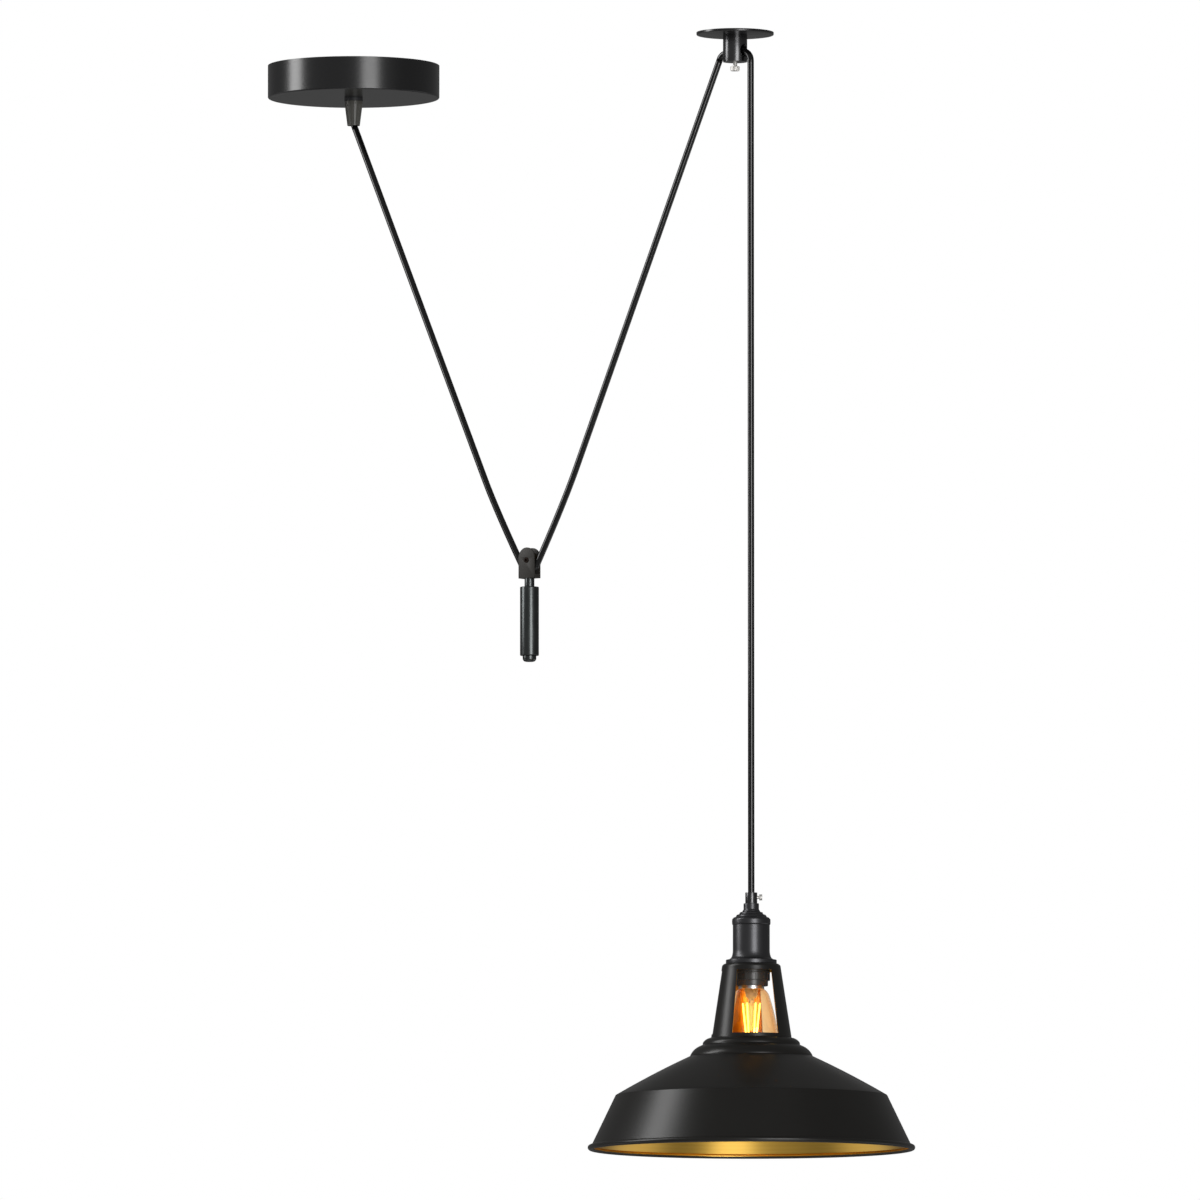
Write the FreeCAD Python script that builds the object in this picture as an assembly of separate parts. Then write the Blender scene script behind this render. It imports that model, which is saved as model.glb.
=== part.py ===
"""Rise and fall pendant: a lamp on one cord that runs from a ceiling canopy, under the sheave of a
counterweight, through a ceiling guide and down to the lampholder. Millimetres, +Z up. The origin is
the centre of the guide plate's ceiling face, and everything hangs below it."""

import FreeCAD
import Part
import math
import os

V = FreeCAD.Vector
UP = V(0, 0, 1)
ORIGIN = V(0, 0, 0)

# ---- Plan: the cord's V hangs in one upright plane through the guide and the canopy ----
PLAN_ANGLE = 142.95        # direction from the guide to the canopy, degrees from +X
SPAN = 534.5               # guide axis to canopy axis
DROP_OFFSET = 21.4         # guide axis to the hanging cord

# ---- Cord ----
CORD_D = 7.2
CORE_D = 2.2
CORE_BEND = 4.0            # bend radius of a core
CORD_GAP = 0.3             # between the cord and what it runs past on another body
CORD_END = 9.0             # cord end below the lampholder's collar
TAIL_ABOVE_GRIP = 5.0      # cord end above the canopy's grip
CORE_OFF = 1.3             # core from the cord's axis, where the sheath ends
EXIT_BEND = 14.0           # where the cord leaves the canopy's grip
SLACK_BEND = 680.0         # the stiff cord's gentle bend above the sheave
SLACK_RUN = 75.0           # from that bend to the sheave
SHEAVE_TANGENT = 29.45     # cord against the vertical where it meets the sheave, degrees
GUIDE_BEND = 13.0          # inside and beside the guide tube
GUIDE_ENTRY = 17.3         # corner of the route beside the guide, from its axis
EXIT_RISE = 1.7            # corner of the route above the grip's lower end

# ---- Canopy ----
CANOPY_D = 193.0
CANOPY_H = 36.8
CANOPY_WALL = 1.2
CANOPY_EDGE = 1.5          # rounded lower edge
STRAP_W = 24.0
STRAP_T = 1.6
LUG_H = 20.0
LUG_GAP = 0.3              # lug to the cup's wall
SLOT_PITCH = 124.0
SLOT_W = 5.0
SLOT_L = 20.0
SUPPLY_HOLE_D = 14.0
SIDE_SCREW_D = 4.0
SIDE_SCREW_L = 6.0
SIDE_SCREW_Z = 12.0
SIDE_SCREW_SUNK = 0.2
KEY_DEPTH = 2.0
THREAD_GAP = 0.05          # radial, screw in its thread
HOLE_GAP = 0.1             # radial, screw in a plain hole

# ---- Canopy terminals ----
BLOCK = V(16.0, 30.0, 13.0)
BLOCK_X = 34.0             # from the canopy axis
POLE_Y = 9.0               # each pole from the block's middle
POLE_SCREW_X = 4.5
POLE_SCREW_D = 3.2
POLE_SCREW_SUNK = 1.0
BLOCK_SCREW_D = 3.0
BLOCK_HEAD_D = 5.4
BLOCK_HEAD_H = 2.0
BLOCK_HEAD_SUNK = 1.0
EARTH_X = 34.0
EARTH_D = 7.0
EARTH_H = 9.0
WIRE_Z = 5.0               # cores below the strap
WIRE_ROOM = 0.4            # round a core in its terminal
CORE_TURN_X = 12.0         # where a core turns level with its terminal

# ---- Canopy cord grip ----
GRIP_BORE_D = CORD_D + 0.8
GRIP_WALL = 3.0
GRIP_THREAD_D = GRIP_BORE_D + 2 * GRIP_WALL
GRIP_COLLAR_D = GRIP_THREAD_D + 6.6
GRIP_COLLAR_H = 3.0
GRIP_INSIDE = 11.0         # thread standing up inside the cup
GRIP_BELOW = 15.0          # thread below the collar
LOCKNUT_AF = GRIP_THREAD_D + 6.0
LOCKNUT_H = 4.5
GRIP_NUT_TOP_D = GRIP_THREAD_D + 6.0
GRIP_NUT_LAND = 4.0        # straight upper part of the nut
GRIP_NUT_MOUTH_D = GRIP_BORE_D + 3.4
GRIP_NUT_END_D = GRIP_NUT_MOUTH_D + 2.6
GRIP_NUT_H = 27.6
GRIP_NUT_GAP = 0.3
GRIP_GROOVES = 16
GROOVE_D = 1.2
MOUTH_H = 6.0
SEAL_H = 6.5
SEAL_WALL = 2.55
SEAL_GAP = 0.05            # radial, insert round the cord

# ---- Ceiling guide ----
PLATE_D = 85.6
PLATE_T = 2.9
PLATE_EDGE = 0.8
PLATE_HOLE_D = 5.0
PLATE_SINK_D = 9.4
TUBE_D = 26.8
TUBE_WALL = 4.4
TUBE_L = 29.95
SPIGOT_D = TUBE_D - 2 * TUBE_WALL
SPIGOT_H = 5.0
SCREW_ROOM = 4.0           # below the spigot, for the ceiling screw's head
CROSS_Z = 20.5             # cross hole below the ceiling
CROSS_D = CORD_D + 1.2
MOUTH_D = CROSS_D + 5.9    # each end of the cross hole is flared
MOUTH_DEPTH = 6.4
LOCK_D = 4.6
LOCK_HEAD_D = 10.2
LOCK_HEAD_H = 5.0
LOCK_NECK = 5.0            # bare shank between tube and head
LOCK_SLOT_W = 1.4
LOCK_SLOT_H = 1.0
LOCK_EDGE = 0.5
KNURLS = 18
KNURL_D = 0.9

# ---- Counterweight ----
PIN_X = 285.7              # guide axis to sheave axle, along the plan direction
PIN_Z = 571.5              # below the ceiling
BIGHT_R = 11.6             # cord centre round the sheave
CORD_SIDE_GAP = 0.4        # cord to the fork's cheeks and bridge
CHEEK_T = 1.9
BRIDGE_T = 4.4
FORK_W = 22.0
FORK_T = CORD_D + 2 * CORD_SIDE_GAP + 2 * CHEEK_T
FORK_TOP = 14.2            # above the axle
FORK_BOTTOM = BIGHT_R + CORD_D / 2 + CORD_SIDE_GAP + BRIDGE_T      # below the axle
AXLE_D = 4.0
AXLE_HEAD_D = 5.8
AXLE_HEAD_SUNK = 1.0
AXLE_HEAD_PROUD = 0.6
AXLE_KEY_D = 2.4
AXLE_KEY_DEPTH = 1.5
SHEAVE_RIM_INSET = 2.2     # sheave's rim inside the cord's centre line
SHEAVE_SIDE_GAP = 0.4      # sheave to each cheek
RUN_GAP = 0.06             # radial, a running fit
NECK_D = 11.0
NECK_H = 9.5
TIE_D = 6.0
TIE_END = 3.5              # tie rod into the fork and the cap
WEIGHT_D = 21.0
WEIGHT_H = 76.9
WEIGHT_EDGE = 1.0
CAP_D = 15.3
CAP_H = 6.8
CAP_EDGE = 2.4

# ---- Lampholder ----
DROP_Z = 954.9             # ceiling to the top of the grip sleeve
SLEEVE_BORE_D = CORD_D + 0.6
NIPPLE_WALL = 1.1
SLEEVE_WALL = 1.6
SLEEVE_H = 12.0
SLEEVE_SCREW_Z = 5.2       # below the sleeve's top
SLEEVE_SCREW_D = 3.4
SLEEVE_SCREW_OUT = 2.2     # bare shank
SLEEVE_HEAD_D = 6.6
SLEEVE_HEAD_H = 3.3
SLEEVE_SLOT_W = 1.0
SLEEVE_SLOT_H = 1.0
NIPPLE_D = SLEEVE_BORE_D + 2 * NIPPLE_WALL
SLEEVE_D = NIPPLE_D + 2 * SLEEVE_WALL
NIPPLE_IN_SLEEVE = 3.9
NIPPLE_L = 17.5
NIPPLE_NUT_AF = NIPPLE_D + 4.0
NIPPLE_NUT_H = 3.0
HOLDER_WALL = 1.0
COLLAR_D = 17.0
COLLAR_H = 8.1
SHELL_D = 40.7
CAP_PROUD = 0.85           # cap's skirt outside the shell
CAP_R = SHELL_D / 2 + CAP_PROUD
CAP_STEP1_R = CAP_R - 7.7
CAP_STEP2_R = CAP_R - 3.6
CAP_STEP1_H = 3.4
CAP_STEP2_H = 3.2
CAP_STEP3_H = 3.2
STEP_EDGE = 1.3            # each step's rounded shoulder
CAP_SKIRT_H = 5.8
JOIN_GAP = 0.3             # shell's upper end inside the cap
JOIN_H = 6.0
SHELL_H = 30.9
FLARE_OUT = 4.65
FLARE_H = 7.6
FLANGE_D = 56.0
FLANGE_H = 4.5
LEDGE_H = 7.0              # lower part of the shell, bored for the socket only

BULB_CAP_D = 26.4
CONTACT_ROOM = 0.4         # radial, bulb's cap in the contact shell
CONTACT_T = 0.8
CONTACT_GAP = 0.2          # radial, contact shell in the socket
CONTACT_INSET = 3.4        # contact shell above the socket's mouth
SOCKET_WALL = 2.7
SOCKET_GAP = 0.3           # radial, socket in the shell's foot
SHOULDER_GAP = 0.25        # radial, socket's shoulder in the shell
SOCKET_SHOULDER_H = 14.0
SOCKET_BELOW = 22.4        # below the flange
SOCKET_BASE_T = 16.0
CONTACT_D = BULB_CAP_D + 2 * CONTACT_ROOM + 2 * CONTACT_T
SOCKET_BORE_D = CONTACT_D + 2 * CONTACT_GAP
SOCKET_D = SOCKET_BORE_D + 2 * SOCKET_WALL
POST = V(6.0, 5.0, 7.0)
POST_X = 10.0
POST_SCREW_D = 3.0
POST_SCREW_L = 8.0
POST_WIRE_Z = 2.4          # core above the socket
POST_HEAD_D = 4.2
POST_HEAD_H = 1.6
LAMP_CORE_BEND = 2.4
TONGUE_W = 5.0
TONGUE_T = 0.6
TONGUE_H = 1.4             # spring tongue's reach below the socket's floor
TONGUE_L = 10.0

RING_GAP = 0.3
RING_WALL = 0.8            # at the ring's nose
RING_NOSE_D = SOCKET_D + 2 * RING_GAP + 2 * RING_WALL
RING_D = RING_NOSE_D + 4.4
RING_LIP = 5.4
RING_FLANGE_H = 2.4
RING_H = 20.6
RING_NOSE_H = 5.9
RING_EDGE = 0.5
RING_PANELS = 10           # sunk panels with a rib between each two
RIB_ARC = 7.0
RIB_TURN = -72.3           # middle of one rib, degrees from +X
PANEL_H = 6.8
PANEL_DEPTH = 0.8
PANEL_LAND = 1.0           # plain band below the panels

# ---- Shade ----
SHADE_WALL = 1.0
SHADE_TOP_R = 29.5
NECK_TOP_R = 32.5
NECK_END_R = 44.4
SHOULDER_H = 4.4
SHADE_NECK_H = 77.2
STEP1_R = 53.5
STEP1_H = 7.6
STEP1_LAND = 2.2           # straight foot of the first step
STEP2_R = 67.3
STEP2_H = 12.4
STEP2_LAND = 0.8
STEP_LEDGE_R = 2.6         # sloping ledge between the two steps
STEP_LEDGE_H = 1.2
CONE_R = 149.6
CONE_H = 43.3
BAND_R = 177.1
BAND_H = 57.9
BEAD_D = 6.7
SHOULDER_BULGE = 0.18      # how far each rounded stretch stands out, as a share of its chord
STEP1_BULGE = 0.12
STEP2_BULGE = 0.1
CONE_BULGE = 0.012
WINDOWS = 3
WINDOW_ARC = 71.0
WINDOW_TURN = -83.5        # middle of the front window, degrees from +X
WINDOW_TOP = 7.6           # below the shade's top
WINDOW_CLEAR = 3.7         # above the first step

# ---- Lamp bulb ----
BULB_TIP_GAP = 0.3
BULB_CAP_L = 23.0
BULB_CAP_T = 1.0
BULB_SKIRT_D = BULB_CAP_D + 2.0
BULB_SKIRT_H = 3.4
BULB_D = 64.0
BULB_NECK_D = BULB_SKIRT_D - 0.6
BULB_GLASS_L = 115.5
BULB_CURVE = V(18.6, 0, -4.6)          # on the glass shoulder's curve, from the neck's centre
BULB_SHOULDER = V(20.5, 0, -9.6)       # where the shoulder meets the long side
GLASS_T = 1.0
TIP_D = 9.0
TIP_H = 1.6
INSULATOR_D = 20.0
INSULATOR_H = 3.0
STEM_D = 7.0
STEM_END_D = 4.9
STEM_L = 46.0
STEM_FOOT_H = 10.0
STEM_FOOT_GAP = 0.4        # radial, stem's foot in the bulb's cap
FILAMENTS = 6
FILAMENT_D = 1.8
FILAMENT_L = 38.0
FILAMENT_DROP = 15.3       # filaments' upper ends below the glass neck
FILAMENT_TOP_R = 9.5
FILAMENT_END_R = 5.5
WIRE_D = 0.8

# ---- Places worked out from the sizes ----
PLAN = V(math.cos(math.radians(PLAN_ANGLE)), math.sin(math.radians(PLAN_ANGLE)), 0)
CANOPY = PLAN * SPAN
LAMP = PLAN * -DROP_OFFSET
CORD_R = CORD_D / 2
CANOPY_FLOOR = -CANOPY_H
TAIL_TOP = CANOPY_FLOOR + GRIP_INSIDE + TAIL_ABOVE_GRIP
GRIP_COLLAR_Z = CANOPY_FLOOR - GRIP_COLLAR_H
GRIP_NUT_TOP = GRIP_COLLAR_Z - GRIP_NUT_GAP
GRIP_NUT_END = GRIP_NUT_TOP - GRIP_NUT_H
PLATE_Z = -PLATE_T
TUBE_END = PLATE_Z - TUBE_L
AXLE_Z = -PIN_Z
FORK_END = AXLE_Z - FORK_BOTTOM
WEIGHT_TOP = FORK_END - NECK_H
WEIGHT_END = WEIGHT_TOP - WEIGHT_H
SLEEVE_TOP = -DROP_Z
SLEEVE_END = SLEEVE_TOP - SLEEVE_H
COLLAR_END = SLEEVE_END - COLLAR_H
CORD_END_Z = COLLAR_END - CORD_END
CAP_STEPS = ((CAP_STEP1_R, CAP_STEP1_H), (CAP_STEP2_R, CAP_STEP2_H), (CAP_R, CAP_STEP3_H))
CAP_END = COLLAR_END - CAP_STEP1_H - CAP_STEP2_H - CAP_STEP3_H - CAP_SKIRT_H
SHELL_STRAIGHT_END = CAP_END - SHELL_H
FLANGE_TOP = SHELL_STRAIGHT_END - FLARE_H
FLANGE_END = FLANGE_TOP - FLANGE_H
LEDGE = FLANGE_END + LEDGE_H
SOCKET_TOP = LEDGE + SOCKET_SHOULDER_H
SOCKET_END = FLANGE_END - SOCKET_BELOW
SOCKET_FLOOR = SOCKET_TOP - SOCKET_BASE_T
SHADE_UNDER = FLANGE_END - SHADE_WALL
RING_TOP = SHADE_UNDER - RING_GAP
RING_END = RING_TOP - RING_FLANGE_H - RING_H
NECK_TOP_Z = FLANGE_END - SHOULDER_H
STEP1_TOP = NECK_TOP_Z - SHADE_NECK_H
STEP2_TOP = STEP1_TOP - STEP1_H
CONE_TOP = STEP2_TOP - STEP2_H
CREASE_Z = CONE_TOP - CONE_H
BEAD_Z = CREASE_Z - BAND_H
BULB_TIP_Z = SOCKET_FLOOR - TONGUE_H - BULB_TIP_GAP
BULB_CAP_TOP = BULB_TIP_Z - TIP_H - INSULATOR_H
BULB_SKIRT_TOP = BULB_CAP_TOP - BULB_CAP_L
BULB_NECK_Z = BULB_SKIRT_TOP - BULB_SKIRT_H
BULB_END = BULB_NECK_Z - BULB_GLASS_L


# ---- Shapes ----
def turned(outline):
    """A solid of revolution about Z from a closed outline of (radius, height) points."""
    points = [V(r, 0, z) for r, z in outline]
    face = Part.Face(Part.makePolygon(points + points[:1]))
    return face.revolve(ORIGIN, UP, 360)


def disc(diameter, low, high):
    return Part.makeCylinder(diameter / 2, high - low, V(0, 0, low))


def ring(outer, inner, low, high):
    return disc(outer, low, high).cut(disc(inner, low - 1, high + 1))


def box(size, centre):
    corner = V(centre.x - size.x / 2, centre.y - size.y / 2, centre.z - size.z / 2)
    return Part.makeBox(size.x, size.y, size.z, corner)


def rod(diameter, start, end):
    return Part.makeCylinder(diameter / 2, (end - start).Length, start, end - start)


def hex_nut(across_flats, thread_d, low, high):
    radius = across_flats / math.sqrt(3)
    corners = [V(radius * math.cos(turn * math.pi / 3), radius * math.sin(turn * math.pi / 3), low)
               for turn in range(7)]
    nut = Part.Face(Part.makePolygon(corners)).extrude(V(0, 0, high - low))
    return nut.cut(disc(thread_d + 2 * THREAD_GAP, low - 1, high + 1))


def rims(shape, height):
    """The round edges of a turned piece that lie at one height."""
    return [edge for edge in shape.Edges
            if isinstance(edge.Curve, Part.Circle) and abs(edge.CenterOfMass.z - height) < 0.01]


def moved(shape, offset):
    placed = shape.copy()
    placed.translate(offset)
    return placed


def in_plane(shape):
    """Turns a piece made with the V along +X into the V's own plane."""
    placed = shape.copy()
    placed.rotate(ORIGIN, UP, PLAN_ANGLE)
    return placed


def around(shape, count, start=0.0):
    copies = []
    for index in range(count):
        copy = shape.copy()
        copy.rotate(ORIGIN, UP, start + 360.0 * index / count)
        copies.append(copy)
    return copies


def moved_out(shape, distance):
    """Moves a copy that around() made out from the Z axis along its own bearing."""
    return moved(shape, shape.Placement.Rotation.multVec(V(1, 0, 0)) * distance)


def save(name, shape):
    shape.exportStep(f"parts/{name}.step")


# ---- Cords ----
def corner_arc(before, corner, after, radius):
    """The arc that rounds one corner of a route."""
    back = (before - corner).normalize()
    ahead = (after - corner).normalize()
    half_turn = (math.pi - back.getAngle(ahead)) / 2
    reach = radius * math.tan(half_turn)
    inward = (back + ahead).normalize()
    middle = corner + inward * (radius / math.cos(half_turn) - radius)
    return corner + back * reach, middle, corner + ahead * reach


def route_edges(points, radii):
    edges = []
    start = points[0]
    for before, corner, after, radius in zip(points, points[1:], points[2:], radii):
        first, middle, last = corner_arc(before, corner, after, radius)
        if (first - start).Length > 0.01:
            edges.append(Part.LineSegment(start, first).toShape())
        edges.append(Part.Arc(first, middle, last).toShape())
        start = last
    if (points[-1] - start).Length > 0.01:
        edges.append(Part.LineSegment(start, points[-1]).toShape())
    return edges


def tube(name, diameter, points, radii):
    """A cord along straight runs and tangent arcs; prints its radii, length and volume check."""
    path = Part.Wire(route_edges(points, radii))
    heading = (points[1] - points[0]).normalize()
    circle = Part.Circle(points[0], heading, diameter / 2)
    section = Part.Wire([circle.toShape()])
    solid = path.makePipeShell([section], True, False)
    ideal = math.pi * diameter ** 2 / 4 * path.Length
    print(f"{name}: length {path.Length:.1f}, radii {radii}, volume/ideal {solid.Volume / ideal:.5f}")
    return solid


def v_point(along, height):
    """A point of the V's plane: distance from the guide axis towards the canopy, and height."""
    return PLAN * along + V(0, 0, height)


TANGENT = math.radians(SHEAVE_TANGENT)
TOUCH_X = BIGHT_R * math.cos(TANGENT)
TOUCH_Z = AXLE_Z - BIGHT_R * math.sin(TANGENT)
BEND_X = TOUCH_X + SLACK_RUN * math.sin(TANGENT)
BEND_Z = TOUCH_Z + SLACK_RUN * math.cos(TANGENT)
BIGHT_CORNER = BIGHT_R * math.tan((math.pi / 2 - TANGENT) / 2)

TAIL_START = v_point(SPAN, TAIL_TOP)
EXIT_CORNER = v_point(SPAN, GRIP_NUT_END + EXIT_RISE)
LEFT_BEND = v_point(PIN_X + BEND_X, BEND_Z)
LEFT_TOUCH = v_point(PIN_X + TOUCH_X, TOUCH_Z)
BIGHT_LEFT = v_point(PIN_X + BIGHT_CORNER, AXLE_Z - BIGHT_R)
BIGHT_RIGHT = v_point(PIN_X - BIGHT_CORNER, AXLE_Z - BIGHT_R)
RIGHT_TOUCH = v_point(PIN_X - TOUCH_X, TOUCH_Z)
RIGHT_BEND = v_point(PIN_X - BEND_X, BEND_Z)
GUIDE_IN = v_point(GUIDE_ENTRY, -CROSS_Z)
GUIDE_OUT = v_point(-DROP_OFFSET, -CROSS_Z)
DROP_TOP = v_point(-DROP_OFFSET, -CROSS_Z - GUIDE_BEND)
DROP_END = v_point(-DROP_OFFSET, SLEEVE_TOP)


def cords():
    """The one cord, in the stretches that its joints need, end face to end face."""
    exit_end = corner_arc(TAIL_START, EXIT_CORNER, LEFT_BEND, EXIT_BEND)[2]
    guide_start = corner_arc(RIGHT_BEND, GUIDE_IN, GUIDE_OUT, GUIDE_BEND)[0]
    stretches = (
        ("cord_tail", [TAIL_START, EXIT_CORNER, exit_end], [EXIT_BEND]),
        ("cord_left_run", [exit_end, LEFT_BEND, LEFT_TOUCH], [SLACK_BEND]),
        ("cord_bight", [LEFT_TOUCH, BIGHT_LEFT, BIGHT_RIGHT, RIGHT_TOUCH], [BIGHT_R, BIGHT_R]),
        ("cord_right_run", [RIGHT_TOUCH, RIGHT_BEND, guide_start], [SLACK_BEND]),
        ("cord_guide_bend", [guide_start, GUIDE_IN, GUIDE_OUT, DROP_TOP], [GUIDE_BEND, GUIDE_BEND]),
        ("drop_cord", [DROP_TOP, DROP_END], []),
        ("cord_lamp_end", [DROP_END, v_point(-DROP_OFFSET, CORD_END_Z)], []),
    )
    for name, points, radii in stretches:
        save(name, tube(name, CORD_D, points, radii))


# ---- Canopy ----
def side_screw_line(x_from, x_to, diameter):
    return rod(diameter, V(x_from, 0, -SIDE_SCREW_Z), V(x_to, 0, -SIDE_SCREW_Z))


def canopy_cup():
    radius = CANOPY_D / 2
    floor_top = CANOPY_FLOOR + CANOPY_WALL
    cup = disc(CANOPY_D, CANOPY_FLOOR, 0).cut(disc(CANOPY_D - 2 * CANOPY_WALL, floor_top, 1))
    cup = cup.makeFillet(CANOPY_EDGE, rims(cup, CANOPY_FLOOR))
    cup = cup.cut(disc(GRIP_THREAD_D + 2 * THREAD_GAP, CANOPY_FLOOR - 1, floor_top + 1))
    cup = cup.cut(side_screw_line(-radius - 1, radius + 1, SIDE_SCREW_D + 2 * THREAD_GAP))
    save("canopy_cup", moved(cup, CANOPY))


def strap_slot(x):
    half = (SLOT_L - SLOT_W) / 2
    slot = box(V(2 * half, SLOT_W, 3 * STRAP_T), V(x, 0, -STRAP_T / 2))
    for end in (x - half, x + half):
        slot = slot.fuse(moved(disc(SLOT_W, -2 * STRAP_T, STRAP_T), V(end, 0, 0)))
    return slot


def mounting_bracket():
    """A flat strap against the ceiling with a lug bent down at each end."""
    radius = CANOPY_D / 2
    lug_x = radius - CANOPY_WALL - LUG_GAP - STRAP_W ** 2 / (8 * radius)
    strap = box(V(2 * lug_x, STRAP_W, STRAP_T), V(0, 0, -STRAP_T / 2))
    for side in (-1, 1):
        strap = strap.fuse(box(V(STRAP_T, STRAP_W, LUG_H), V(side * (lug_x - STRAP_T / 2), 0, -LUG_H / 2)))
        strap = strap.cut(strap_slot(side * SLOT_PITCH / 2))
    strap = strap.cut(disc(SUPPLY_HOLE_D, -2 * STRAP_T, STRAP_T))
    strap = strap.cut(side_screw_line(-radius, radius, SIDE_SCREW_D + 2 * THREAD_GAP))
    for x in (BLOCK_X, -EARTH_X):
        hole = disc(BLOCK_SCREW_D + 2 * THREAD_GAP, -2 * STRAP_T, STRAP_T)
        strap = strap.cut(moved(hole, V(x, 0, 0)))
    save("mounting_bracket", moved(strap.removeSplitter(), CANOPY))


def canopy_screws():
    screws = []
    for side in (-1, 1):
        outer = side * (CANOPY_D / 2 - SIDE_SCREW_SUNK)
        screw = side_screw_line(outer, outer - side * SIDE_SCREW_L, SIDE_SCREW_D)
        key = side_screw_line(outer, outer - side * KEY_DEPTH, SIDE_SCREW_D / 2)
        screws.append(moved(screw.cut(key), CANOPY))
    save("canopy_screws", Part.makeCompound(screws))


def terminal_block():
    """A block with two poles, four clamping screws and the screw that fixes it to the strap."""
    top = -STRAP_T
    low = top - BLOCK.z
    centre = V(BLOCK_X, 0, 0)
    head_z = low + BLOCK_HEAD_SUNK
    block = box(BLOCK, V(BLOCK_X, 0, top - BLOCK.z / 2))
    block = block.cut(moved(disc(BLOCK_SCREW_D + 2 * HOLE_GAP, low - 1, 0), centre))
    block = block.cut(moved(disc(BLOCK_HEAD_D + 2 * HOLE_GAP, low - 1, head_z + BLOCK_HEAD_H), centre))
    fixing = disc(BLOCK_SCREW_D, head_z, 0).fuse(disc(BLOCK_HEAD_D, head_z, head_z + BLOCK_HEAD_H))
    screws = []
    for y in (-POLE_Y, POLE_Y):
        ends = V(BLOCK_X - BLOCK.x, y, top - WIRE_Z), V(BLOCK_X + BLOCK.x, y, top - WIRE_Z)
        block = block.cut(rod(CORE_D + 2 * WIRE_ROOM, *ends))
        for x in (BLOCK_X - POLE_SCREW_X, BLOCK_X + POLE_SCREW_X):
            hole = disc(POLE_SCREW_D + 2 * HOLE_GAP, low - 1, top - WIRE_Z)
            block = block.cut(moved(hole, V(x, y, 0)))
            screw = disc(POLE_SCREW_D, low + POLE_SCREW_SUNK, top - WIRE_Z - CORE_D / 2 - HOLE_GAP)
            screws.append(moved(screw, CANOPY + V(x, y, 0)))
    save("terminal_block", moved(block, CANOPY))
    save("terminal_block_screws", Part.makeCompound(screws))
    save("block_fixing_screw", moved(fixing.removeSplitter(), CANOPY + centre))


def earth_terminal():
    post = disc(EARTH_D, -STRAP_T - EARTH_H, -STRAP_T).fuse(disc(BLOCK_SCREW_D, -STRAP_T, 0))
    post = moved(post.removeSplitter(), V(-EARTH_X, 0, 0))
    height = -STRAP_T - WIRE_Z
    hole = rod(CORE_D + 2 * WIRE_ROOM, V(-EARTH_X, 0, height), V(-EARTH_X + EARTH_D, 0, height))
    save("earth_terminal", moved(post.cut(hole), CANOPY))


def canopy_cores():
    """Three cores from the cord's end to their terminals."""
    height = -STRAP_T - WIRE_Z
    block_end = BLOCK_X - BLOCK.x / 2 + 2
    for name, side_x, side_y, end_x, y in (("core_live", 1, 1, block_end, POLE_Y),
                                           ("core_neutral", 1, -1, block_end, -POLE_Y),
                                           ("core_earth", -1, 0, -EARTH_X + 1.5, 0)):
        x, off_y = side_x * CORE_OFF, side_y * CORE_OFF
        points = [V(x, off_y, TAIL_TOP), V(x, off_y, TAIL_TOP + CORE_BEND + 1),
                  V(side_x * CORE_TURN_X, y, height), V(end_x, y, height)]
        save(name, tube(name, CORE_D, [CANOPY + point for point in points], [CORE_BEND, CORE_BEND]))


def canopy_grip():
    """The cord grip: body through the cup's floor, lock nut, soft insert and tapered nut."""
    body = ring(GRIP_THREAD_D, GRIP_BORE_D, GRIP_COLLAR_Z - GRIP_BELOW, CANOPY_FLOOR + GRIP_INSIDE)
    body = body.fuse(ring(GRIP_COLLAR_D, GRIP_BORE_D, GRIP_COLLAR_Z, CANOPY_FLOOR)).removeSplitter()
    save("grip_body", moved(body, CANOPY))
    low = CANOPY_FLOOR + CANOPY_WALL
    save("grip_locknut", moved(hex_nut(LOCKNUT_AF, GRIP_THREAD_D, low, low + LOCKNUT_H), CANOPY))

    seal_top = GRIP_COLLAR_Z - GRIP_BELOW
    seal_end = seal_top - SEAL_H
    seal_bore = CORD_D + 2 * SEAL_GAP
    save("grip_seal", moved(ring(seal_bore + 2 * SEAL_WALL, seal_bore, seal_end, seal_top), CANOPY))

    thread = GRIP_THREAD_D / 2 + THREAD_GAP
    cavity = seal_bore / 2 + SEAL_WALL + GRIP_NUT_GAP
    land_end = GRIP_NUT_TOP - GRIP_NUT_LAND
    nut = turned([(GRIP_NUT_TOP_D / 2, GRIP_NUT_TOP), (GRIP_NUT_TOP_D / 2, land_end),
                  (GRIP_NUT_END_D / 2, GRIP_NUT_END), (GRIP_NUT_MOUTH_D / 2, GRIP_NUT_END),
                  (GRIP_BORE_D / 2, GRIP_NUT_END + MOUTH_H), (GRIP_BORE_D / 2, seal_end - GRIP_NUT_GAP),
                  (cavity, seal_end - GRIP_NUT_GAP), (cavity, seal_top - GRIP_NUT_GAP),
                  (thread, seal_top - GRIP_NUT_GAP), (thread, GRIP_NUT_TOP)])
    groove = rod(GROOVE_D, V(GRIP_NUT_TOP_D / 2, 0, land_end), V(GRIP_NUT_END_D / 2, 0, GRIP_NUT_END + 1))
    for cutter in around(groove, GRIP_GROOVES):
        nut = nut.cut(cutter)
    save("grip_nut", moved(nut, CANOPY))


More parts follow.
